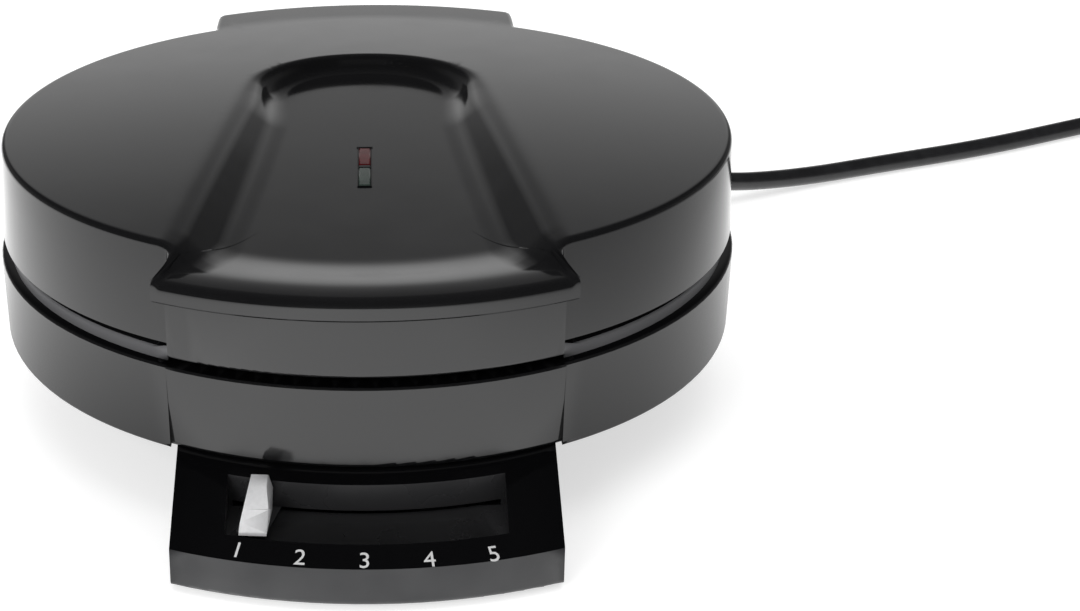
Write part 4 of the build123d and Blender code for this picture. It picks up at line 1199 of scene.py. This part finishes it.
    def cheek_skirt(self, side: Side) -> tuple[list, list]:
        """The round skirt where it carries on under one end of the lip.

        Args:
            side: The side that it is on.

        Returns:
            Its points and faces.
        """
        plan = self.plan
        start = math.asin((plan.lip_half + 2.0) / plan.skirt_radius)
        stop = math.asin(self.cheek_stop_x / plan.skirt_radius)
        top_radius, top_z = self.skirt_top
        section = [(top_radius, top_z), (plan.skirt_radius, plan.bottom_z),
                   (plan.skirt_radius - plan.wall, plan.bottom_z), (top_radius - plan.wall, top_z)]
        points, faces = [], []
        steps = self.cheek_steps
        for k in range(steps + 1):
            a = start + (stop - start) * k / steps
            points += [(side.value * r * math.sin(a), -r * math.cos(a), z) for r, z in section]
        for k in range(steps):
            for j in range(4):
                faces.append((4 * k + j, 4 * k + (j + 1) % 4, 4 * k + 4 + (j + 1) % 4, 4 * k + 4 + j))
        faces += [(0, 1, 2, 3), tuple(4 * steps + j for j in range(4))]
        return points, faces


@dataclass
class LampBezel:
    """The black bezel round the two pilot lights, with a broader bar at the back."""

    finishes: Finishes
    plan: LidPlan = field(default_factory=LidPlan)
    rear_y: float = -11.0
    middle_y: float = -25.8
    front_y: float = -40.6
    half_width: float = 1.7
    edge_width: float = 0.45
    rear_bar: tuple[float, float] = (0.7, 1.1)
    middle_half: float = 0.8
    levels: tuple[tuple[float, float], ...] = ((0.0, -1.2), (0.0, 0.12), (0.18, 0.34))

    def build(self) -> None:
        """Builds the bezel's five bars as one piece that follows the scoop's floor."""
        wide, edge = self.half_width, self.edge_width
        bars = [(-wide - self.rear_bar[0], wide + self.rear_bar[0], self.rear_y, self.rear_y + self.rear_bar[1]),
                (-wide, wide, self.middle_y - self.middle_half, self.middle_y + self.middle_half),
                (-wide - edge, wide + edge, self.front_y - edge, self.front_y)]
        bars += [(min(s.value * wide, s.value * (wide + edge)), max(s.value * wide, s.value * (wide + edge)),
                  self.front_y, self.rear_y) for s in Side]
        points, faces = [], []
        for low_x, high_x, low_y, high_y in bars:
            base = len(points)
            for inset, lift in self.levels:
                for x, y in ((low_x + inset, low_y + inset), (high_x - inset, low_y + inset),
                             (high_x - inset, high_y - inset), (low_x + inset, high_y - inset)):
                    points.append((x, y, float(self.plan.floor(np.array(x), np.array(y))) + lift))
            for ring in (0, 4):
                faces += [tuple(base + ring + i for i in (k, (k + 1) % 4, (k + 1) % 4 + 4, k + 4)) for k in range(4)]
            faces += [(base + 3, base + 2, base + 1, base), tuple(base + 8 + k for k in range(4))]
        mesh = mesh_from("lamp_bezel", np.array(points), faces, 30.0)
        mesh.materials.append(self.finishes.panel)
        piece = new_object("lamp_bezel", mesh)
        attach(piece, "lid")
        log.info("lamp bezel built")


@dataclass
class RubberFeet:
    """The four round feet, one turned pad instanced on four points by Geometry Nodes."""

    finishes: Finishes
    radius: float = 6.0
    height: float = 2.9
    seed: int = 7
    places: tuple[tuple[float, float], ...] = ((-51.0, 74.0), (51.0, 74.0), (-38.0, -121.98), (38.0, -121.98))

    def group(self) -> bpy.types.NodeTree:
        """Builds the node group: a turned pad with a rounded edge, instanced on the points.

        Returns:
            The node group.
        """
        tree = bpy.data.node_groups.new("turned_feet", "GeometryNodeTree")
        for name, kind, way in (("Geometry", "Geometry", "INPUT"), ("Foot Radius", "Float", "INPUT"),
                                ("Foot Height", "Float", "INPUT"), ("Seed", "Int", "INPUT"),
                                ("Finish", "Material", "INPUT"), ("Geometry", "Geometry", "OUTPUT")):
            tree.interface.new_socket(name, in_out=way, socket_type="NodeSocket" + kind)
        bench = NodeBench(tree)
        add, join = bench.add, bench.join
        given, result = add("NodeGroupInput").outputs, add("NodeGroupOutput")
        top = add("ShaderNodeCombineXYZ")
        join(given["Foot Height"], top.inputs["Z"])
        line = add("GeometryNodeCurvePrimitiveLine")
        join(top.outputs[0], line.inputs["End"])
        steps = add("GeometryNodeResampleCurve")
        steps.inputs["Count"].default_value = 14
        join(line.outputs[0], steps.inputs["Curve"])
        profile = add("GeometryNodeSplineParameter").outputs["Factor"]
        for operation, value, offset in (("MULTIPLY_ADD", 2.0, -1.0), ("ABSOLUTE", 0.0, 0.0), ("POWER", 5.0, 0.0),
                                         ("MULTIPLY_ADD", -0.13, 1.0)):
            profile = bench.maths(operation, profile, value)
            profile.node.inputs[2].default_value = offset
        ring = add("GeometryNodeCurvePrimitiveCircle")
        ring.inputs["Resolution"].default_value = 48
        join(given["Foot Radius"], ring.inputs["Radius"])
        turned = add("GeometryNodeCurveToMesh")
        turned.inputs["Fill Caps"].default_value = True
        join(steps.outputs[0], turned.inputs["Curve"])
        join(ring.outputs[0], turned.inputs["Profile Curve"])
        join(profile, turned.inputs["Scale"])
        spin = add("FunctionNodeRandomValue", data_type="FLOAT_VECTOR")
        spin.inputs[0].default_value = (0.0, 0.0, 0.0)
        spin.inputs[1].default_value = (0.0, 0.0, math.tau)
        join(given["Seed"], spin.inputs["Seed"])
        instances = add("GeometryNodeInstanceOnPoints")
        join(given["Geometry"], instances.inputs["Points"])
        join(turned.outputs[0], instances.inputs["Instance"])
        join(spin.outputs[0], instances.inputs["Rotation"])
        real = add("GeometryNodeRealizeInstances")
        finish = add("GeometryNodeSetMaterial")
        join(instances.outputs[0], real.inputs[0])
        join(real.outputs[0], finish.inputs["Geometry"])
        join(given["Finish"], finish.inputs["Material"])
        join(finish.outputs[0], result.inputs[0])
        return tree

    def build(self) -> None:
        """Makes the feet and keeps them as one plain mesh."""
        mesh = bpy.data.meshes.new("feet_points")
        mesh.from_pydata([(x * MM, (y + AXIS_Y) * MM, 0.0) for x, y in self.places], [], [])
        holder = new_object("feet_points", mesh)
        modifier = holder.modifiers.new("turned_feet", "NODES")
        modifier.node_group = self.group()
        values = {"Foot Radius": self.radius * MM, "Foot Height": self.height * MM, "Seed": self.seed,
                  "Finish": self.finishes.rubber}
        for item in modifier.node_group.interface.items_tree:
            if item.in_out == "INPUT" and item.name in values:
                modifier[item.identifier] = values[item.name]
        graph = bpy.context.evaluated_depsgraph_get()
        graph.update()
        made = bpy.data.meshes.new_from_object(holder.evaluated_get(graph))
        bpy.data.objects.remove(holder)
        made.name = "feet_turned"
        shade_by_angle(made, 40.0)
        piece = new_object("feet_turned", made)
        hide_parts("rubber_feet")
        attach(piece, "base")
        log.info("feet turned with %d faces", len(made.polygons))


@dataclass
class MainsCord:
    """The mains cord: a free stretch on the table, a put-away coil and its plug."""

    finishes: Finishes
    frame: dict
    radius: float = 3.6
    pitch: float = 7.8
    outer_turn: float = 43.9
    heading: float = 28.0
    corner_reach: float = 0.9659
    exit_place: tuple[float, float, float] = (59.3, 113.75, 34.0)
    exit_way: tuple[float, float, float] = (0.908, 0.330, -0.259)
    exit_reach: float = 18.5
    plug_height: float = 18.5

    def arc(self, centre: Vector, across: Vector, along: Vector, radius: float, count: int) -> list[Vector]:
        """Control points of a level arc that starts on the far side of its centre.

        Args:
            centre: The arc's centre.
            across: The way from its start to its centre.
            along: The way in which it sets off.
            radius: Its radius.
            count: Its number of 30 degree steps.

        Returns:
            The points, at the centre's height.
        """
        reach = radius / self.corner_reach
        turns = [math.radians(15 + 30 * k) for k in range(count)]
        return [centre - across * (reach * math.cos(turn)) + along * (reach * math.sin(turn)) for turn in turns]

    def route(self) -> list[tuple[float, float, float]]:
        """Control points of the free stretch and the coil.

        Returns:
            The points, in millimetres in the row frame.
        """
        low = self.radius
        way = Vector(self.exit_way).normalized()
        start = Vector(self.exit_place) + way * self.exit_reach
        points = [start, start + way * 30.0, Vector((136.0, 145.25, 8.6)), Vector((172.0, 162.25, 3.9)),
                  Vector((212.0, 179.25, low)), Vector((256.0, 196.25, low)), Vector((300.0, 218.85, low))]
        turn = math.radians(self.heading)
        ahead = Vector((math.cos(turn), math.sin(turn), 0.0))
        aside = Vector((ahead.y, -ahead.x, 0.0))
        spot = Vector((365.0, 253.25, low))
        points.append(spot - ahead * 26.0)
        middle, inner = self.outer_turn - self.pitch / 2, self.outer_turn - self.pitch
        for sign, radius, rise in ((1, self.outer_turn, 0), (-1, middle, 0), (1, inner, 1), (-1, middle, 0)):
            half_turn = self.arc(spot + aside * (radius * sign), aside * sign, ahead * sign, radius, 6)
            for k, place in enumerate(half_turn):
                place.z = spot.z + rise * self.pitch * (k + 0.5) / 6
            points += half_turn
            spot = spot + aside * (2 * radius * sign) + Vector((0, 0, rise * self.pitch))
        centre = spot + aside * self.outer_turn
        points += self.arc(centre, aside, ahead, self.outer_turn, 3)
        leave = centre + ahead * self.outer_turn
        lift = Vector((0, 0, self.plug_height - leave.z))
        points += [leave + aside * 22.0, leave + aside * 32.0 + lift, leave + aside * 60.0 + lift,
                   leave + aside * 68.8 + lift]
        return [tuple(p) for p in points]

    def build(self) -> None:
        """Builds the cord as one curve and dresses the pieces on it."""
        route = self.route()
        curve = bpy.data.curves.new("mains_cord_line", "CURVE")
        curve.dimensions = "3D"
        curve.bevel_depth = self.radius * MM
        curve.bevel_resolution = 6
        curve.use_fill_caps = True
        curve.resolution_u = 8
        spline = curve.splines.new("NURBS")
        spline.points.add(len(route) - 1)
        for point, place in zip(spline.points, route):
            point.co = (*(c * MM for c in place), 1.0)
        spline.order_u = 3
        spline.use_endpoint_u = True
        curve.materials.append(self.finishes.cord)
        cord = bpy.data.objects.new("mains_cord_line", curve)
        bpy.context.scene.collection.objects.link(cord)
        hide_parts("mains_cord", "cord_coil")
        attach(cord, "base")
        skins = FrameSkins(self.finishes, self.frame, 40.0)
        plug = skins.skin("plug_body", "base", self.finishes.cord, "cord_black")
        pins = skins.skin("plug_pins", "base", self.finishes.nickel, "nickel")
        [c * MM for c in route[0]]
        log.info("mains cord laid with %d points", len(route))


@dataclass
class ControlWindow:
    """The stepped window of the control panel, whose inside is duller than its face."""

    back_radius: float = 115.0
    front_radius: float = 132.0
    half_width: float = 37.0

    def dress(self, panel: bpy.types.Object, finish: bpy.types.Material) -> None:
        """Gives the faces inside the window their own finish.

        Args:
            panel: The dressed control panel.
            finish: The finish of the window's inside.
        """
        panel.data.materials.append(finish)
        for face in panel.data.polygons:
            centre = face.center / MM
            radius = math.hypot(centre.x, centre.y - AXIS_Y)
            inside = self.back_radius - 0.3 < radius < self.front_radius + 0.3 and abs(centre.x) < self.half_width + 0.3
            top = face.normal.z > 0.5 and face.normal.y < -0.2
            if inside and centre.y < 0.0 and not top:
                face.material_index = 1


@dataclass
class Marks:
    """The five marks printed in front of the selector's window."""

    finishes: Finishes
    radius: float = 136.6
    slant: float = 0.3
    spacing: float = 7.0
    start_angle: float = -14.2
    size: float = 4.8
    foot_z: float = 25.5
    root_radius: float = 109.5
    front_radius: float = 138.8
    drop: float = 13.3
    count: int = 5
    type_scale: float = 1.38
    ink_depth: float = 0.03
    proud: float = 0.05

    def build(self) -> None:
        """Prints the digits on the sloping panel as one piece."""
        slope = math.atan2(self.drop, self.front_radius - self.root_radius)
        work = bmesh.new()
        for index in range(self.count):
            radius = self.radius + (index - 2) * self.slant
            height = self.foot_z - (radius - self.root_radius) / (self.front_radius - self.root_radius) * self.drop
            text = bpy.data.curves.new("digit", "FONT")
            text.body = str(index + 1)
            text.size = self.size * MM * self.type_scale
            text.align_x = "CENTER"
            text.align_y = "CENTER"
            text.extrude = self.ink_depth * MM
            holder = bpy.data.objects.new("digit", text)
            bpy.context.scene.collection.objects.link(holder)
            mesh = bpy.data.meshes.new_from_object(holder.evaluated_get(bpy.context.evaluated_depsgraph_get()))
            bpy.data.objects.remove(holder)
            turn = math.radians(self.start_angle + index * self.spacing)
            place = Matrix.Translation((0.0, AXIS_Y * MM, 0.0)) @ Matrix.Rotation(turn, 4, "Z")
            place = place @ Matrix.Translation((0.0, -radius * MM, (height + self.proud) * MM))
            place = place @ Matrix.Rotation(slope, 4, "X")
            mesh.transform(place)
            work.from_mesh(mesh)
            bpy.data.meshes.remove(mesh)
        mesh = bpy.data.meshes.new("panel_marks")
        work.to_mesh(mesh)
        work.free()
        mesh.materials.append(self.finishes.ink)
        piece = new_object("panel_marks", mesh)
        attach(piece, "base")
        log.info("marks printed")


def main() -> None:
    """Builds the studio and every piece of the waffle iron, in order."""
    logging.basicConfig(level=logging.INFO, format="%(message)s")
    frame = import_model()
    Studio().build()
    finishes = Finishes()
    MainsCord(finishes, frame).build()
    Lid(finishes).build()
    skins = FrameSkins(finishes, frame)
    for node, body, finish, slot in (
        ("handle_lower_shell", "lid", finishes.gloss, "gloss_black"),
        ("lid_frame", "lid", finishes.grey, "grey_black"),
        ("bottom_cover", "base", finishes.grey, "grey_black"),
        ("selector_arm", "selector", finishes.grey, "grey_black"),
        ("selector_knob", "selector", finishes.silver, "silver_knob"),
        ("thermostat_spindle", "selector", finishes.steel, "steel"),
        ("lower_waffle_plate", "base", finishes.cast, "cast_black"),
        ("upper_waffle_plate", "lid", finishes.cast, "cast_black"),
        ("lower_heating_element", "base", finishes.sheath, "element_sheath"),
        ("upper_heating_element", "lid", finishes.sheath, "element_sheath"),
        ("lower_heat_shield", "base", finishes.steel, "steel"),
        ("upper_heat_shield", "lid", finishes.steel, "steel"),
        ("housing_screws", "base", finishes.steel, "steel"),
        ("upper_plate_screws", "lid", finishes.steel, "steel"),
        ("hinge_pins", "base", finishes.steel, "steel"),
        ("lamp_holder", "lid", finishes.grey, "grey_black"),
        ("neon_lamps", "lid", finishes.lamp, "lamp_glass"),
        ("thermostat", "base", finishes.ceramic, "ceramic"),
        ("thermal_cutout", "base", finishes.steel, "steel"),
        ("terminal_block", "base", finishes.ceramic, "ceramic"),
        ("strain_relief", "base", finishes.cord, "cord_black"),
    ):
        skins.skin(node, body, finish, slot)
    for node, finish, lift in (("red_lens", finishes.red, 2.0), ("green_lens", finishes.green, 1.6)):
        skins.skin(node, "lid", finish, node, lift=lift)
    LampBezel(finishes).build()
    RubberFeet(finishes).build()
    shell = skins.skin("base_shell", "base", finishes.gloss, "gloss_black")
    # the shoulder gets a painted highlight; the shelf, in the panel's darkest finish, painted shade
    RoundPan().shape(shell, finishes.shoulder, finishes.panel)
    panel = skins.skin("control_panel", "base", finishes.panel, "panel_black", 12.0)
    ControlWindow().dress(panel, finishes.window)
    Marks(finishes).build()
    log.info("all pieces built")


if __name__ == "__main__":
    main()
